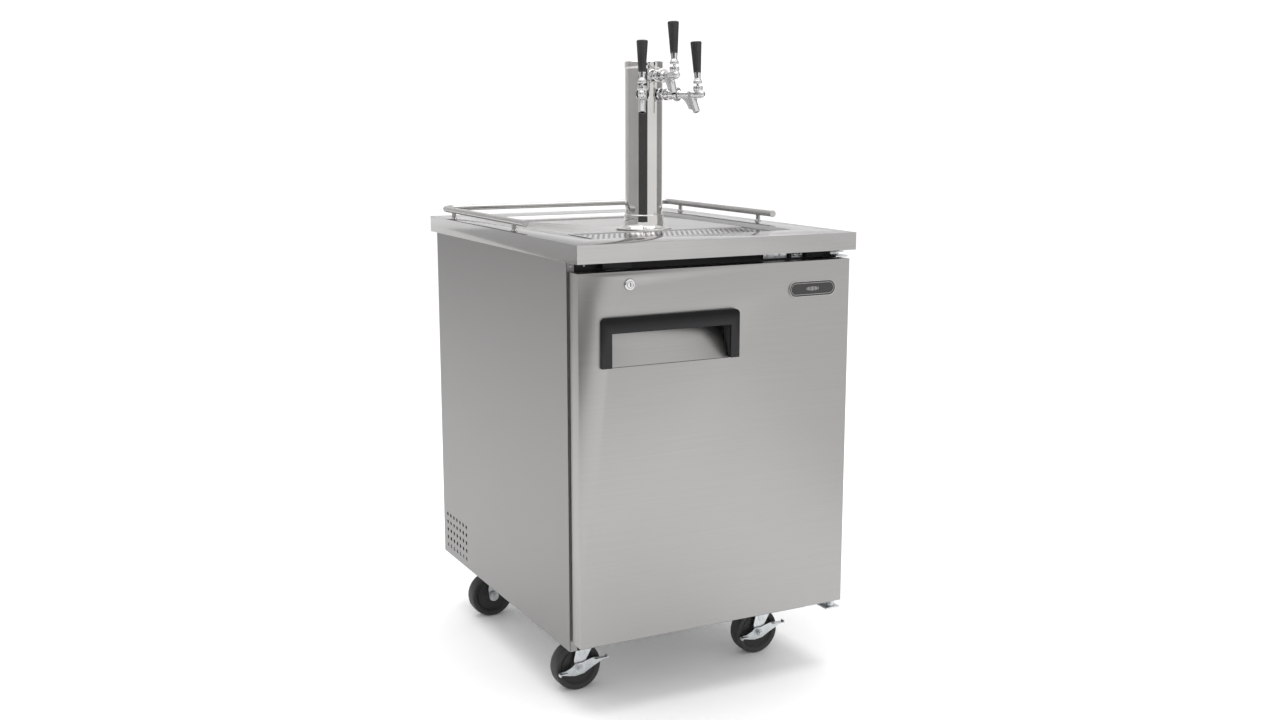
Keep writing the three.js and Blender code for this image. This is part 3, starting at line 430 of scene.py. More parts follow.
# ---- cabinet ------------------------------------------------------------------------------
def side_panel(side, node):
    """A folded side sheet with its vent holes."""
    low, high = extent(node)
    columns, rows, radius = 7, 5, 4.4
    first_y, pitch_y = high.y - 25, 20
    first_z, pitch_z = low.z + 20.5, 18.3
    holes = [circle(first_y - column * pitch_y, first_z + row * pitch_z, radius, 20)
             for column in range(columns) for row in range(rows)]
    outline = [(low.y, low.z), (high.y, low.z), (high.y, high.z), (low.y, high.z)]
    sheet = 1.2
    outer = low.x if side < 0 else high.x - sheet
    bm = bmesh.new()
    stand = Matrix(((0, 0, 1, outer), (1, 0, 0, 0), (0, 1, 0, 0), (0, 0, 0, 1)))
    plate(bm, outline, sheet, stand, holes)
    block(bm, low.x, high.x, low.y, low.y + sheet, low.z, high.z)
    # the sheet's darker steel colour is painted shade
    piece(f"{node}_sheet", bm, BODY_OF[node], "painted_shade_side_steel", [node], bevel=0.35)


def cabinet():
    side_panel(-1, "left_side_panel")
    side_panel(1, "right_side_panel")
    # the front frame's black is partly painted shade under the worktop
    refined("front_frame", "black_paint_and_painted_shade", 0.3)
    refined("back_panel", "galvanised", 0.4)
    refined("rear_grille", "galvanised", 0.4)
    refined("base_pan", "galvanised", 0.5)
    refined("inner_liner", "liner", 0.45)
    refined("insulation", "foam", 0.8)
    low, high = extent("back_panel")
    edge = 14
    columns = [low.x + edge, (low.x + high.x) / 2, high.x - edge]
    places = [(x, high.y, z) for x in columns for z in (low.z + edge, high.z - edge - 12)]
    low, high = extent("rear_grille")
    places += [(x, high.y, z) for x in (low.x + edge, high.x - edge) for z in (low.z + edge, high.z - edge)]
    screws("back_screw", places, TO_BACK, "cabinet")


# ---- worktop ------------------------------------------------------------------------------
def drip_grille():
    """A flat plate with rows of small punched holes, set half a pitch apart from row to row."""
    low, high = extent("drip_grille")
    margin, pitch, radius = 9, 11.5, 3.1
    across = int((high.x - low.x - 2 * margin) / pitch)
    rows = int((high.y - low.y - 2 * margin) / pitch)
    start_x = (low.x + high.x) / 2 - pitch * across / 2
    start_y = (low.y + high.y) / 2 - pitch * (rows - 1) / 2
    holes = []
    for row in range(rows):
        stagger = pitch / 2 if row % 2 else 0
        for column in range(across + (0 if row % 2 else 1)):
            holes.append(circle(start_x + stagger + column * pitch, start_y + row * pitch, radius, 10))
    bm = bmesh.new()
    sheet = 1.2
    outline = rounded(low.x, high.x, low.y, high.y, 4, 3)
    plate(bm, outline, sheet, shift(0, 0, high.z - sheet), holes)
    for x in (low.x + 4, high.x - 5.5):
        block(bm, x, x + 1.5, low.y + 4, high.y - 4, low.z, high.z - sheet + 0.1)
    piece("drip_grille_punched", bm, "cabinet", "worktop_steel", ["drip_grille"])


def guard_rail():
    """A bent tube on short posts, each with a foot washer and a saddle, and a disc in each open end."""
    low, high = extent("guard_rail")
    radius, corner, post = 6.35, 30, 4.5
    reach = high.x - 0.7 - radius
    back = high.y - radius
    level = high.z - 0.7 - radius
    front = low.y + 1
    path = [(-reach, front, level)]
    for side in (-1, 1):
        for step in range(17):
            angle = math.radians(180 - 90 * step / 16 if side < 0 else 90 - 90 * step / 16)
            path.append((side * (reach - corner) + corner * math.cos(angle),
                         back - corner + corner * math.sin(angle), level))
    path.append((reach, front, level))
    bm = tube(bmesh.new(), path, radius, 32)
    for x in (-reach, reach):
        cover = [(0, 0), (radius + 0.6, 0), (radius + 0.7, 0.6), (radius + 0.7, 3.2), (radius, 3.8), (0, 3.8)]
        lathe(bm, cover, shift(x, front - 1, level) @ TO_BACK, 36)
        for y in (-60, 284):
            lathe(bm, [(0, 0), (post + 2.2, 0), (post + 2.2, 0.8), (post + 0.9, 1.5), (post, 2.4), (post, 11),
                       (post + 0.9, 12), (post + 0.9, 16), (0, 16)], shift(x, y, low.z), 32)
    piece("guard_rail_tube", bm, "cabinet", "rail_steel", ["guard_rail"], crease=40)


def worktop():
    refined("worktop", "worktop_steel", 1.1, segments=3)
    refined("drip_pan", "worktop_steel", 0.4)
    drip_grille()
    guard_rail()


# ---- tower and taps -----------------------------------------------------------------------
def tower():
    low, high = extent("tower_column")
    foot, base = (high.x - low.x) / 2, low.z
    ring_height, wall, sides = 30, 1.5, 128
    top = base + ring_height
    axis = shift((low.x + high.x) / 2, (low.y + high.y) / 2, 0)
    cap_low, cap_high = extent("tower_cap")
    radius = (cap_high.x - cap_low.x) / 2 - 1
    inner = radius - wall
    profile = [(inner, low.z), (radius, low.z), (radius, high.z), (inner, high.z), (inner, low.z)]
    tower_tube = lathe(bmesh.new(), profile, axis, sides)
    piece("tower_tube", tower_tube, "cabinet", "tower_steel", ["tower_column"])
    collar = radius + 2
    profile = [(radius + 0.3, base), (foot - 0.6, base), (foot, base + 0.6), (foot - 0.2, base + 1.6),
               (foot - 1.2, base + 2.2), (foot - 6, base + 2.7), (foot - 9, base + 3.8),
               (collar + 5, base + 5.4), (collar + 2.6, base + 8), (collar + 1, base + 12),
               (collar + 0.3, base + 17),
               (collar, base + 22), (collar, top - 2.2), (collar - 0.4, top - 0.9), (collar - 1.1, top - 0.1),
               (radius + 0.3, top), (radius + 0.3, base)]
    piece("tower_base_ring", lathe(bmesh.new(), profile, axis, sides), "cabinet", "tower_steel", crease=40)
    skirt, top, base = radius + 1, cap_high.z, cap_high.z - 15
    profile = [(0, base - 2), (inner - 0.4, base - 2), (inner - 0.4, base), (skirt - 0.4, base),
               (skirt, base + 0.5), (skirt, top - 3), (skirt - 0.3, top - 1.9), (skirt - 1, top - 1),
               (skirt - 2.2, top - 0.35), (skirt - 4, top - 0.05), (0, top)]
    lid = lathe(bmesh.new(), profile, axis, sides)
    piece("tower_lid", lid, "cabinet", "tower_steel", ["tower_cap"], crease=40)


LEVER_RISE = 10
LEAN = -3.5


def tap_place(side):
    """Where a tap's own drawing goes: its origin on the tower's axis, and the tap along -Y."""
    joint = JOINTS[f"tap_{side}_pull"]
    pivot, across = Vector(joint["pos_m"]) / MM, Vector(joint["axis"])
    inward = Vector((0, 0, 1)).cross(across)
    low, high = extent("tower_column")
    axis = Vector(((low.x + high.x) / 2, (low.y + high.y) / 2, pivot.z))
    reach = (pivot - axis).length
    spin = Matrix((across, inward, Vector((0, 0, 1)))).transposed().to_4x4()
    return shift(axis.x, axis.y, pivot.z - LEVER_RISE) @ spin, reach


def lobes(count, height, low, high):
    """A ripple of rounded lobes between two heights of a lathed shape."""
    def ripple(angle, radius, z):
        return height * (abs(math.cos(count * angle / 2)) - 1) if low <= z <= high else 0
    return ripple


def shank_mesh():
    """Wall nut, coupling nut with its spanner lugs, and the faucet's collar ring."""
    bm = bmesh.new()
    out = TO_FRONT
    lathe(bm, [(0, 38.4), (12.6, 38.4), (13.2, 39.2), (13.2, 41.2), (12.2, 42.2), (0, 42.2)], out, 64)
    lathe(bm, [(0, 42), (11.6, 42), (11.6, 48.6), (10.4, 49.6), (0, 49.6)], out, 6)
    lathe(bm, [(0, 49), (9.4, 49), (9.4, 52), (11.2, 52.6), (11.8, 53.6), (11.8, 61), (11.2, 62), (9.6, 62.6),
               (9.2, 66), (9.2, 75.4), (0, 75.4)], out, 64)
    for lug in range(4):
        block(bm, 10.6, 13.6, -2.2, 2.2, 54.4, 60.4, out @ turn(90 * lug + 45, "Z"))
    lathe(bm, [(0, 75), (11.6, 75), (13.2, 75.8), (13.8, 77), (13.8, 78.4), (13.2, 79.3), (13.8, 80.2),
               (13.8, 81.6), (12.8, 82.6), (0, 82.6)], out, 72)
    return to_mesh(bm, "tap_shank_turned")


def faucet_mesh(reach):
    """The cast faucet: a horn-shaped throat, a forward-leaning spout, and a seat for the lever."""
    bm = bmesh.new()
    throat = [(0, 83), (8.6, 83), (8.4, 85), (6.6, 88.5), (6.0, 93), (6.3, 100), (7.2, 110)]
    nose = [(8.0, reach - 9), (8.0, reach + 6), (7.0, reach + 11), (4.6, reach + 14.4), (0, reach + 15.6)]
    lathe(bm, throat + nose, TO_FRONT, 48)
    lean = shift(0, -112.5, -1) @ turn(-21, "X")
    lathe(bm, [(0, -36.5), (7.0, -36.5), (7.1, -20), (7.7, -4), (7.7, 6), (0, 6)], lean, 40)
    horn = [(86, 3), (86, -5), (92, -7.5), (99, -12.5), (105, -20), (109.5, -29), (118, -30), (124, -12),
            (124, 2)]
    side = Matrix(((0, 0, 1, -4.4), (-1, 0, 0, 0), (0, 1, 0, 0), (0, 0, 0, 1)))
    plate(bm, horn, 8.8, side)
    seat = shift(0, -reach, 0)
    lathe(bm, [(0, 0), (7.2, 0), (7.2, 6), (8.6, 8), (8.8, 11), (0, 11)], seat, 40)
    cuts = bmesh.new()
    lathe(cuts, [(0, -40), (5.1, -40), (5.1, -8), (0, -8)], lean, 32)
    lathe(cuts, [(0, 7), (6.6, 7), (6.6, 14), (0, 14)], seat, 32)
    return fused(bm, "faucet_cast", 0.7, 6, cuts)


def bonnet_mesh():
    """The lobed bonnet that holds the lever's ball down."""
    profile = [(6.9, 8.2), (8.8, 8.2), (9.4, 9.2), (9.5, 14.4), (9.1, 15.5), (8.4, 15.8), (8.0, 15.3),
               (6.9, 11), (6.9, 8.2)]
    return to_mesh(lathe(bmesh.new(), profile, sides=112, ripple=lobes(14, 0.7, 9, 15)), "tap_bonnet")


def lever_mesh():
    """Ball, neck, two collars and the tapered ferrule of a tap lever, from its pivot up."""
    bm = bmesh.new()
    lathe(bm, [(0, 0.4), (3.4, 0.8), (4.6, 2.2), (4.4, 4), (2.6, 6), (2.5, 11), (0, 11)], sides=40)
    lathe(bm, [(0, 10.2), (7.6, 10.2), (8.4, 10.9), (8.8, 12), (8.8, 15), (8.3, 16.2), (7.2, 17), (0, 17)],
          sides=112, ripple=lobes(14, 0.6, 10.9, 16.2))
    lathe(bm, [(0, 16.8), (6.9, 16.8), (7.2, 17.4), (7.2, 18.6), (6.5, 19.3), (6.0, 20.4), (6.1, 22),
               (7.0, 30.6), (7.0, 31.5), (0, 31.5)], sides=64)
    return to_mesh(bm, "tap_lever_turned")


def handle_mesh():
    """A tapered black handle with shallow flutes that fade out below its rounded top."""
    foot, height = 31.7, 60.3
    steps = 18
    profile = [(0, foot), (6.9, foot), (7.4, foot + 0.6)]
    for step in range(1, steps):
        t = step / steps
        profile.append((7.5 + 3.6 * t ** 1.1, foot + 1 + (height - 4.5) * t))
    profile += [(11.15, foot + height - 3), (10.9, foot + height - 1.4), (9.9, foot + height - 0.4),
                (8.6, foot + height), (0, foot + height - 0.2)]
    fade = 5

    def flutes(angle, radius, z):
        start = min(1, max(0, (z - foot - 2) / fade))
        end = min(1, max(0, (foot + height - 0.2 - z) / 1.5))
        return -0.42 * start * end * (1 - abs(math.cos(8 * angle))) if radius else 0

    return to_mesh(lathe(bmesh.new(), profile, sides=128, ripple=flutes), "tap_handle_fluted")


def taps():
    _, reach = tap_place("centre")
    shank, faucet = shank_mesh(), faucet_mesh(reach)
    bonnet, lever, handle = bonnet_mesh(), lever_mesh(), handle_mesh()
    for side in TAP_SIDES:
        place, reach = tap_place(side)
        moving = place @ shift(0, -reach, LEVER_RISE) @ turn(LEAN, "X")
        piece(f"tap_shank_{side}_turned", shank, "cabinet", "chrome", [f"tap_shank_{side}"], place, crease=35)
        piece(f"faucet_{side}_cast", faucet, "cabinet", "chrome", [f"faucet_body_{side}"], place, crease=60)
        piece(f"tap_bonnet_{side}", bonnet, "cabinet", "chrome", at=place @ shift(0, -reach, 0), crease=50)
        body = f"tap_{side}"
        piece(f"tap_lever_{side}_turned", lever, body, "chrome", [f"tap_lever_{side}"], moving, crease=40)
        piece(f"tap_handle_{side}_fluted", handle, body, "handle_black", [f"tap_handle_{side}"], moving,
              crease=45)


# ---- door ---------------------------------------------------------------------------------
def gasket():
    """A bellows seal: a pleated section run round the door, with mitred corners."""
    low, high = extent("door_gasket")
    width = 20
    depth = high.y - low.y
    section = [(0, 0), (width, 0), (width, depth * 0.45), (width - 2, depth * 0.62),
               (width - 0.6, depth * 0.8), (width - 3, depth), (3, depth),
               (0.8, depth * 0.86), (2.6, depth * 0.7), (0.5, depth * 0.5)]
    bm = bmesh.new()
    rings = []
    for sx, sz in ((-1, -1), (1, -1), (1, 1), (-1, 1)):
        x = high.x if sx > 0 else low.x
        z = high.z if sz > 0 else low.z
        corner = [(x - sx * inset, low.y + rise, z - sz * inset) for inset, rise in section]
        rings.append([bm.verts.new(place) for place in corner])
    for ring, following in zip(rings, rings[1:] + rings[:1]):
        for i in range(len(section)):
            j = (i + 1) % len(section)
            bm.faces.new([ring[i], ring[j], following[j], following[i]])
    piece("door_gasket_bellows", bm, "door", "rubber", ["door_gasket"], bevel=0.35, crease=20)


def lock():
    ring = lock_ring()
    point = joint_point("lock_turn")
    low, _ = extent("lock_body")
    at = shift(point.x, low.y, point.z) @ TO_BACK
    piece("lock_ring", ring, "door", "chrome", ["lock_body"], at, crease=40)
    refined("lock_cylinder", "chrome", 0.35, 30)


def lock_ring():
    """The lock's bezel, drawn from its front face at z 0 to its tail."""
    profile = [(6.3, 0.5), (6.9, 0.1), (8, 0), (9.4, 0.2), (10.4, 0.8), (10.9, 1.7), (11, 2.7), (8.5, 2.7),
               (8.5, 28.8), (6.3, 28.8), (6.3, 0.5)]
    return lathe(bmesh.new(), profile, sides=80)


def badge():
    """A blank capsule badge: black field, bright rim, a thin inner line and a row of upright ribs."""
    low, high = extent("badge")
    cx, cz = (low.x + high.x) / 2, (low.z + high.z) / 2
    half_x, half_z = (high.x - low.x) / 2, (high.z - low.z) / 2
    at = shift(cx, high.y, cz) @ TO_FRONT
    rim = bmesh.new()
    outer = rounded(-half_x, half_x, -half_z, half_z, half_z - 0.3, 14)
    inner = rounded(-half_x + 1.5, half_x - 1.5, -half_z + 1.5, half_z - 1.5, half_z - 1.8, 14)
    plate(rim, outer, 2.2, at, [inner])
    piece("badge_rim", rim, "door", "rail_steel", ["badge"], bevel=0.3, crease=40)
    field = bmesh.new()
    plate(field, rounded(-half_x + 1.6, half_x - 1.6, -half_z + 1.6, half_z - 1.6, half_z - 1.9, 14), 1.5, at)
    piece("badge_field", field, "door", "badge_black", bevel=0.2, crease=40)
    line = bmesh.new()
    raised, face = 0.6, at @ shift(0, 0, 1.4)
    frame_x, frame_z = half_x - 4.2, half_z - 4.2
    ring = rounded(-frame_x, frame_x, -frame_z, frame_z, frame_z - 0.2, 14)
    hole = rounded(-frame_x + 0.8, frame_x - 0.8, -frame_z + 0.8, frame_z - 0.8, frame_z - 1, 14)
    plate(line, ring, raised, face, [hole])
    pitch, half_rib = 3.2, 0.7
    for rib in range(-4, 5):
        reach = 4.6 - 0.5 * abs(rib)
        outline = rounded(rib * pitch - half_rib, rib * pitch + half_rib, -reach, reach, 0.6, 4)
        plate(line, outline, raised, face)
    piece("badge_ribs", line, "door", "rail_steel", bevel=0.12)


def door():
    refined("door_skin", "door_steel", 1.3, segments=3)
    refined("door_liner", "liner", 1.0, segments=3)
    refined("door_handle", "black_plastic", 1.5, 40, 3)
    refined("handle_pocket", "door_steel", 0.4)
    gasket()
    lock()
    badge()


def hinges():
    refined("upper_hinge_bracket", "zinc", 0.4)
    refined("lower_hinge_bracket", "zinc", 0.5)
    refined("lock_strike", "black_paint_and_painted_shade", 0.3)
    low, high = extent("upper_hinge_bracket")
    face = high.y - 2.7
    shelf = extent("lock_strike")[0].z + 0.5
    middle = (high.z + shelf) / 2
    screws("upper_hinge_screw", [(low.x + 9, face, middle), (low.x + 37, face, middle)], TO_FRONT, "cabinet",
           shape=SMALL_SCREW)
    hinge_closer(high.x, face, shelf, high.z)
    left, _ = extent("lock_strike")
    frame_face = extent("front_frame")[0].y
    screws("strike_screw", [(left.x - 53, frame_face, middle), (left.x - 27, frame_face, middle)], TO_FRONT,
           "cabinet", shape=SMALL_SCREW)
    low, _ = extent("lower_hinge_bracket")
    row = 134
    screws("lower_hinge_screw", [(low.x + 9, face, row), (low.x + 22, face, row)], TO_FRONT, "cabinet",
           shape=SMALL_SCREW)


def hinge_closer(right, face, low, high):
    """The closing spring's black housing on the upper hinge, with its link, stop bar and upper prong."""
    middle, axle = (low + high) / 2, face - 3.4
    housing = bmesh.new()
    block(housing, right - 86, right - 29, face - 14, face, low + 0.6, high - 0.2)
    lathe(housing, [(0, 0), (5.4, 0), (5.4, 2), (4.6, 2.8), (0, 2.8)],
          shift(right - 40, face - 14, middle) @ TO_FRONT, 32)
    block(housing, right - 121, right - 114.5, face - 6, face, low, high)
    piece("hinge_spring_housing", housing, "cabinet", "black_plastic", bevel=0.7)
    link = tube(bmesh.new(), [(right - 116, axle, middle), (right - 84, axle, middle)], 1.8, 16)
    for x in (right - 108, right - 94):
        lathe(link, [(0, -2), (3.6, -2), (3.6, 2), (0, 2)], shift(x, axle, middle) @ turn(90, "Y"), 32)
    piece("hinge_link", link, "cabinet", "zinc", crease=40)
    prong = bmesh.new()
    outline = [(right - 30, face), (right - 30, face - 16), (right - 22, face - 24), (right - 6, face - 24),
               (right - 1, face - 19), (right - 6, face - 14), (right - 16, face - 12), (right - 18, face)]
    plate(prong, outline, 2.2, shift(0, 0, high - 5.4))
    piece("hinge_prong", prong, "cabinet", "zinc", bevel=0.3)


# ---- inside -------------------------------------------------------------------------------
def fan_shape(radius, hub, count, depth):
    """A moulded fan about +Z: a domed hub and curved blades that twist towards their tips."""
    bm = lathe(bmesh.new(), [(0, -depth / 2), (hub, -depth / 2), (hub, depth * 0.3), (hub * 0.8, depth / 2),
                             (0, depth / 2)], sides=48)
    along, across, thick = 8, 6, 0.9
    for blade in range(count):
        grids = []
        for level in (-thick, thick):
            grid = []
            for i in range(along + 1):
                t = i / along
                r = hub * 0.9 + (radius - hub * 0.9) * t
                span = math.radians(38 + 14 * t)
                pitch = depth * (0.85 - 0.35 * t)
                row = []
                for j in range(across + 1):
                    s = j / across - 0.5
                    angle = 2 * math.pi * blade / count + span * s + math.radians(14) * t
                    row.append(bm.verts.new((r * math.cos(angle), r * math.sin(angle),
                                             pitch * s + level * (1 - 4 * s * s) * 0.8 + level * 0.2)))
                grid.append(row)
            grids.append(grid)
        low, high = grids
        for i in range(along):
            for j in range(across):
                bm.faces.new([low[i][j], low[i][j + 1], low[i + 1][j + 1], low[i + 1][j]])
                bm.faces.new([high[i][j], high[i + 1][j], high[i + 1][j + 1], high[i][j + 1]])
        rim = [(i, 0) for i in range(along)] + [(along, j) for j in range(across)]
        rim += [(i, across) for i in range(along, 0, -1)] + [(0, j) for j in range(across, 0, -1)]
        for (i, j), (k, m) in zip(rim, rim[1:] + rim[:1]):
            bm.faces.new([low[i][j], low[k][m], high[k][m], high[i][j]])
    return bm


def fan_guard():
    """Concentric wires and four spokes over the evaporator fan."""
    low, _ = extent("evaporator_cover")
    centre = joint_point("evaporator_fan_spin")
    wire, face = 1.1, low.y - 1.0
    bm = bmesh.new()
    for radius in (14, 26, 38, 50, 62, 68):
        loop = [(centre.x + x, face, centre.z + z) for x, z in circle(0, 0, radius, 48)]
        tube(bm, loop + loop[:2], wire, 8)
    for spoke in range(4):
        angle = math.radians(45 + 90 * spoke)
        c, s = math.cos(angle), math.sin(angle)
        tube(bm, [(centre.x + r * c, face - 1.2, centre.z + r * s) for r in (12, 40, 70)], wire, 8)
    piece("fan_guard", bm, "cabinet", "rail_steel", crease=60)


def refrigeration():
    refined("compressor", "enamel", 0.6, 40)
    refined("condenser", "coil", 0.4)
    refined("evaporator_cover", "liner", 1.0, segments=3)
    refined("evaporator_coil", "coil", 0.3)
    refined("thermostat_housing", "liner", 2.0, segments=4)
    refined("thermostat_knob", "black_plastic", 0.8, segments=3)
    refined("power_inlet", "black_plastic", 0.5)
    spin = joint_point("condenser_fan_spin")
    piece("condenser_fan_blades", fan_shape(70, 18, 5, 17), "condenser_fan", "black_plastic",
          ["condenser_fan"], shift(*spin) @ turn(90, "Y"), crease=45)
    spin = joint_point("evaporator_fan_spin")
    piece("evaporator_fan_blades", fan_shape(58, 16, 5, 14), "evaporator_fan", "black_plastic",
          ["evaporator_fan"], shift(*spin) @ TO_FRONT, crease=45)
    fan_guard()
    copper_lines()
    low, high = extent("evaporator_cover")
    places = [(x, low.y, z) for x in (low.x + 12, high.x - 12) for z in (low.z + 12, high.z - 12)]
    screws("evaporator_screw", places, TO_FRONT, "cabinet", shape=SMALL_SCREW)
    low, high = extent("power_inlet")
    middle = (low + high) / 2
    pins = bmesh.new()
    for x, z in ((-8, -2), (8, -2), (0, 4)):
        pin_x, pin_z = middle.x + x, middle.z + z
        block(pins, pin_x - 1, pin_x + 1, low.y + 1, high.y - 0.4, pin_z - 2.5, pin_z + 2.5)
    piece("inlet_pins", pins, "cabinet", "copper", bevel=0.2)


def bend(points, radius, steps=6):
    """Rounds the corners of a route with arcs."""
    points = [Vector(p) for p in points]
    path = [points[0]]
    for before, corner, after in zip(points, points[1:], points[2:]):
        start = corner + (before - corner).normalized() * radius
        end = corner + (after - corner).normalized() * radius
        for step in range(steps + 1):
            t = step / steps
            path.append((1 - t) ** 2 * start + 2 * t * (1 - t) * corner + t * t * end)
    return path + [points[-1]]


def copper_lines():
    """Rigid pipes between the compressor, the condenser and the cold coil above."""
    low, high = extent("compressor")
    shell = (low + high) / 2
    coil_low, _ = extent("condenser")
    top = high.z
    runs = {
        "discharge_pipe": [(shell.x + 55, shell.y - 30, top - 35), (shell.x + 92, shell.y - 30, top - 35),
                           (shell.x + 92, shell.y - 30, top - 8), (coil_low.x - 30, shell.y - 30, top - 8),
                           (coil_low.x + 4, shell.y - 30, top - 8)],
        "suction_pipe": [(shell.x + 50, shell.y + 30, top - 50), (shell.x + 84, shell.y + 30, top - 50),
                         (shell.x + 84, shell.y + 30, top + 22), (shell.x + 120, shell.y + 30, top + 22),
                         (shell.x + 120, shell.y + 30, top + 34)],
        "process_stub": [(shell.x - 50, shell.y + 30, top - 60), (shell.x - 74, shell.y + 30, top - 60),
                         (shell.x - 74, shell.y + 30, top - 26)],
    }
    for name, route in runs.items():
        piece(name, tube(bmesh.new(), bend(route, 9), 3.2, 16), "cabinet", "copper", crease=60)


# ---- casters ------------------------------------------------------------------------------
TRAIL, WHEEL = 27, 49


def wheel_mesh():
    """A solid rubber wheel about its axle, with a crowned tread, stepped faces and a hub."""
    side = [(5.2, 15), (9.5, 15), (10.5, 14.4), (13, 13.6), (15, 11), (33, 10.6), (35.5, 12), (37.5, 14.4),
            (40, 15.2), (45.5, 15.8), (47.6, 14.6), (48.6, 11.5), (49, 6), (49, 0.4), (48.7, 0)]
    profile = side + [(radius, -height) for radius, height in side[::-1][1:]]
    return to_mesh(lathe(bmesh.new(), profile + [profile[0]], TO_FRONT, 96), "caster_wheel_solid")


def fork_mesh():
    """Domed race cup, crown, two pressed cheeks with a raised rib, and the axle bolt with its nuts."""
    bm = bmesh.new()
    race = [(0, 108), (22, 108), (25, 109.4), (27, 112), (27, 114), (25.6, 115.2), (26, 116.4), (24, 118),
            (0, 118)]
    lathe(bm, race, sides=72)
    plate(bm, rounded(-30, 22, -20.1, 20.1, 7, 5), 4, shift(0, 0, 104.6))
    cheek = [(-TRAIL + 9.5 * math.cos(math.radians(a)), WHEEL + 9.5 * math.sin(math.radians(a)))
             for a in range(170, 371, 20)]
    cheek += [(-TRAIL + 13, WHEEL + 12), (2, 88), (22, 103), (22, 108), (-30, 108), (-31, 96), (-38.5, 66)]
    stand = Matrix(((1, 0, 0, 0), (0, 0, -1, 0), (0, 1, 0, 0), (0, 0, 0, 1)))
    for front in (-17.5, 20.1):
        plate(bm, cheek, 2.6, shift(0, front, 0) @ stand)
    for side, turned in ((-20.1, TO_FRONT), (20.1, TO_BACK)):
        rib = [(0, 0), (7.6, 0), (7.0, 0.9), (4.8, 1.1), (0, 1.1)]
        lathe(bm, rib, shift(-TRAIL + 6, side, WHEEL + 30) @ turned, 32)
    lathe(bm, [(0, -27), (4.4, -27), (4.4, 33), (0, 33)], shift(-TRAIL, 0, WHEEL) @ TO_FRONT, 32)
    hex_bolt(bm, 8, 7.5, shift(-TRAIL, 20.1, WHEEL) @ TO_BACK)
    return to_mesh(bm, "caster_fork_pressed")


def plate_mesh():
    """Top plate with four bolted corners, a fixed race ring and the rivet's head."""
    bm = bmesh.new()
    low, high = extent("caster_plate_front_left")
    half_x, half_y = (high.x - low.x) / 2, (high.y - low.y) / 2
    corners = [(x, y) for x in (-36, 36) for y in (-23, 23)]
    plate(bm, rounded(-half_x, half_x, -half_y, half_y, 7, 6), 3.2, shift(0, 0, high.z - 3.2),
          [circle(x, y, 4, 20) for x, y in corners])
    lathe(bm, [(0, 118.5), (20, 118.5), (21.5, 119.2), (22.5, 121.7), (0, 121.7)], sides=64)
    for x, y in corners:
        hex_bolt(bm, 5.6, 5, shift(x, y, high.z - 3.2) @ DOWN)
    return to_mesh(bm, "caster_plate_bolted")


def brake_mesh():
    """The pressed brake lever about the axle: a claw at one end, a tread pad with a lip at the other."""
    bm = bmesh.new()
    lower = [(-45, -9), (-36, -10), (-22, -13), (-10, -15), (8, -12.5), (24, -3.5), (40, 4), (56, 12)]
    upper = [(50, 15.5), (40, 16), (28, 17), (12, 13), (4, 10.5), (-10, 10.5), (-18, 4), (-30, -1.5),
             (-38, -2.5), (-46, -4)]
    stand = Matrix(((1, 0, 0, 0), (0, 0, -1, -21.4), (0, 1, 0, 0), (0, 0, 0, 1)))
    plate(bm, lower + upper, 2.4, stand, [circle(0, 0, 5.2, 24)])
    block(bm, 30, 57.5, -33.5, -22, 13.6, 16)
    block(bm, 54.8, 57.5, -33.5, -22, 14, 19)
    block(bm, -46, -29, -32, -22, -5.6, -3.4)
    block(bm, -46, -44, -32, -22, -9, -3.5)
    return to_mesh(bm, "brake_lever_pressed")


def casters():
    wheel, fork, top, brake = wheel_mesh(), fork_mesh(), plate_mesh(), brake_mesh()
    nut = bmesh.new()
    hex_bolt(nut, 8, 7, shift(0, -23.9, 0) @ TO_FRONT)
    nut = to_mesh(nut, "axle_nut")
    for place in CASTERS:
        swivel, axle = joint_point(f"swivel_{place}"), joint_point(f"roll_{place}")
        stem = shift(swivel.x, swivel.y, 0)
        hub = shift(axle.x, axle.y, axle.z)
        piece(f"caster_plate_{place}_bolted", top, "cabinet", "zinc", [f"caster_plate_{place}"], stem,
              bevel=0.3)
        piece(f"caster_fork_{place}_pressed", fork, f"caster_{place}", "zinc", [f"caster_fork_{place}"], stem,
              bevel=0.4)
        piece(f"caster_wheel_{place}_solid", wheel, f"wheel_{place}", "tread", [f"caster_wheel_{place}"], hub,
              crease=30)
        piece(f"axle_nut_{place}", nut, f"caster_{place}", "zinc", at=hub)
        if place.startswith("front"):
            piece(f"brake_lever_{place}_pressed", brake, f"brake_{place}", "zinc",
                  [f"brake_lever_{place}"], hub, bevel=0.6, segments=3)


# ---- studio -------------------------------------------------------------------------------
def card(name, width, height, place, aim, value):
    """A plain studio card that lights or darkens reflections, and that the camera doesn't see."""
    bm = bmesh.new()
    bmesh.ops.create_grid(bm, x_segments=1, y_segments=1, size=0.5)
    mesh = bpy.data.meshes.new(name)
    bm.to_mesh(mesh)
    bm.free()
    obj = bpy.data.objects.new(name, mesh)
    bpy.context.scene.collection.objects.link(obj)
    obj.scale = (width, height, 1)
    obj.location = place
    obj.rotation_euler = (Vector(aim) - Vector(place)).to_track_quat("Z", "Y").to_euler()
    mesh.materials.append(finish(f"{name}_card", grey(value * 0.95), grey(value), (0.8, 0.9), bump=0.0))
    obj.visible_camera = False
    obj.visible_shadow = False
    obj.visible_diffuse = False
    return obj


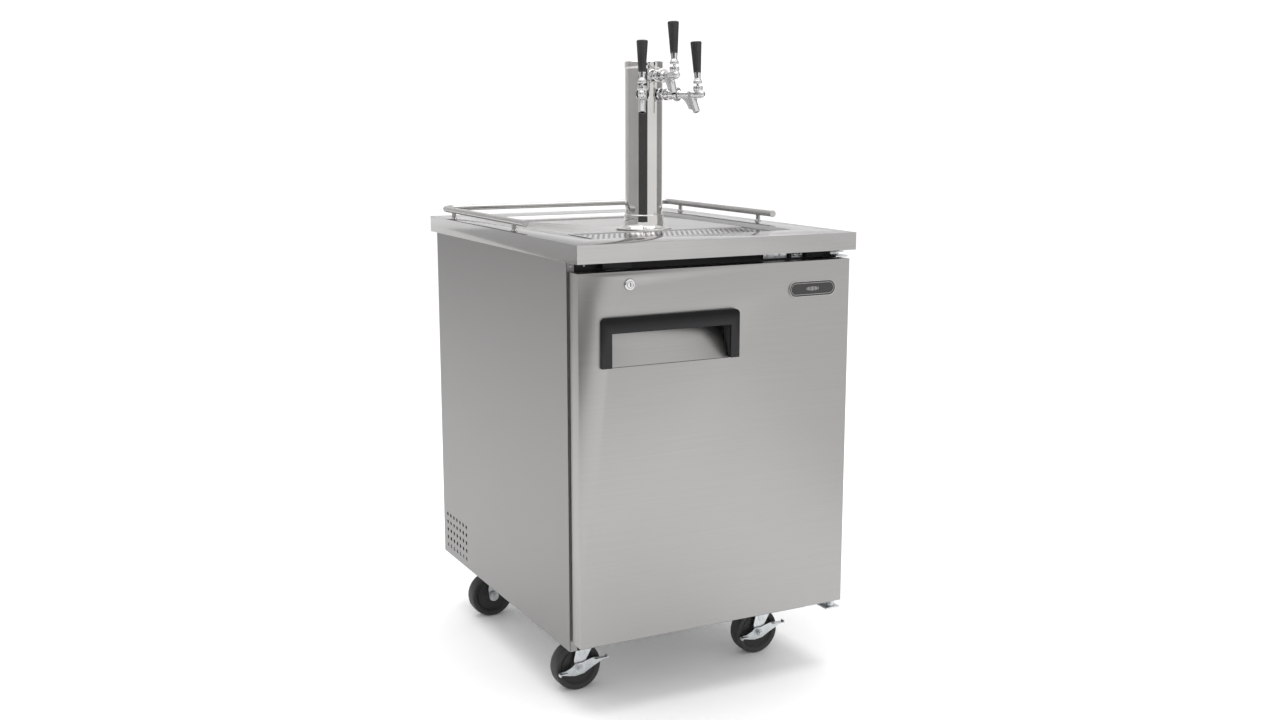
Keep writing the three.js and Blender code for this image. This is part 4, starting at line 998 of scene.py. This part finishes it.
def lamp(name, width, height, place, aim, power):
    data = bpy.data.lights.new(name, "AREA")
    data.shape = "RECTANGLE"
    data.size, data.size_y = width, height
    data.energy = power
    obj = bpy.data.objects.new(name, data)
    bpy.context.scene.collection.objects.link(obj)
    obj.location = place
    obj.rotation_euler = (Vector(aim) - Vector(place)).to_track_quat("-Z", "Y").to_euler()
    return obj


def studio():
    floor = bmesh.new()
    bmesh.ops.create_circle(floor, cap_ends=True, segments=64, radius=14)
    mesh = bpy.data.meshes.new("studio_floor")
    floor.to_mesh(mesh)
    floor.free()
    obj = bpy.data.objects.new("studio_floor", mesh)
    bpy.context.scene.collection.objects.link(obj)
    pale = finish("pale_floor", grey(0.95), grey(0.97), (0.75, 0.85), grain=(30, 30, 30), bump=0.02)
    mesh.materials.append(pale)
    world = bpy.data.worlds.new("studio")
    bpy.context.scene.world = world
    world.use_nodes = True
    world.node_tree.nodes["Background"].inputs["Color"].default_value = (1, 1, 1, 1)
    world.node_tree.nodes["Background"].inputs["Strength"].default_value = 1.1
    lamp("overhead", 4.0, 4.0, (0, 0.2, 4.2), (0, 0, 0), 110)
    tower_middle = (0, -0.07, 1.1)
    card("dark_front", 4.6, 1.5, (-2.35, -3.7, 1.15), tower_middle, 0.05)
    card("grey_back_left", 4.6, 4.2, (-3.3, 4.4, 2.2), tower_middle, 0.55)
    card("grey_back", 11.0, 5.0, (2.2, 5.2, 2.9), tower_middle, 0.74)
    card("grey_left", 6.5, 4.4, (-4.3, 0.6, 1.5), tower_middle, 0.42)
    card("grey_right", 4.2, 4.4, (3.9, -0.2, 1.5), tower_middle, 0.30)


def camera():
    """An ordinary camera at the photograph's viewing angle."""
    lens, tilt, swing = 38.93, 10.21, 27.38
    data = bpy.data.cameras.new("camera")
    data.sensor_width = 36
    data.lens = lens
    obj = bpy.data.objects.new("camera", data)
    bpy.context.scene.collection.objects.link(obj)
    obj.location = (-1.3169, -2.5961, 1.1311)
    obj.rotation_euler = (math.radians(90 - tilt), 0, math.radians(-swing))
    bpy.context.scene.camera = obj
    bpy.context.scene.view_settings.view_transform = "Standard"


cabinet()
worktop()
tower()
taps()
door()
hinges()
refrigeration()
casters()
studio()
camera()
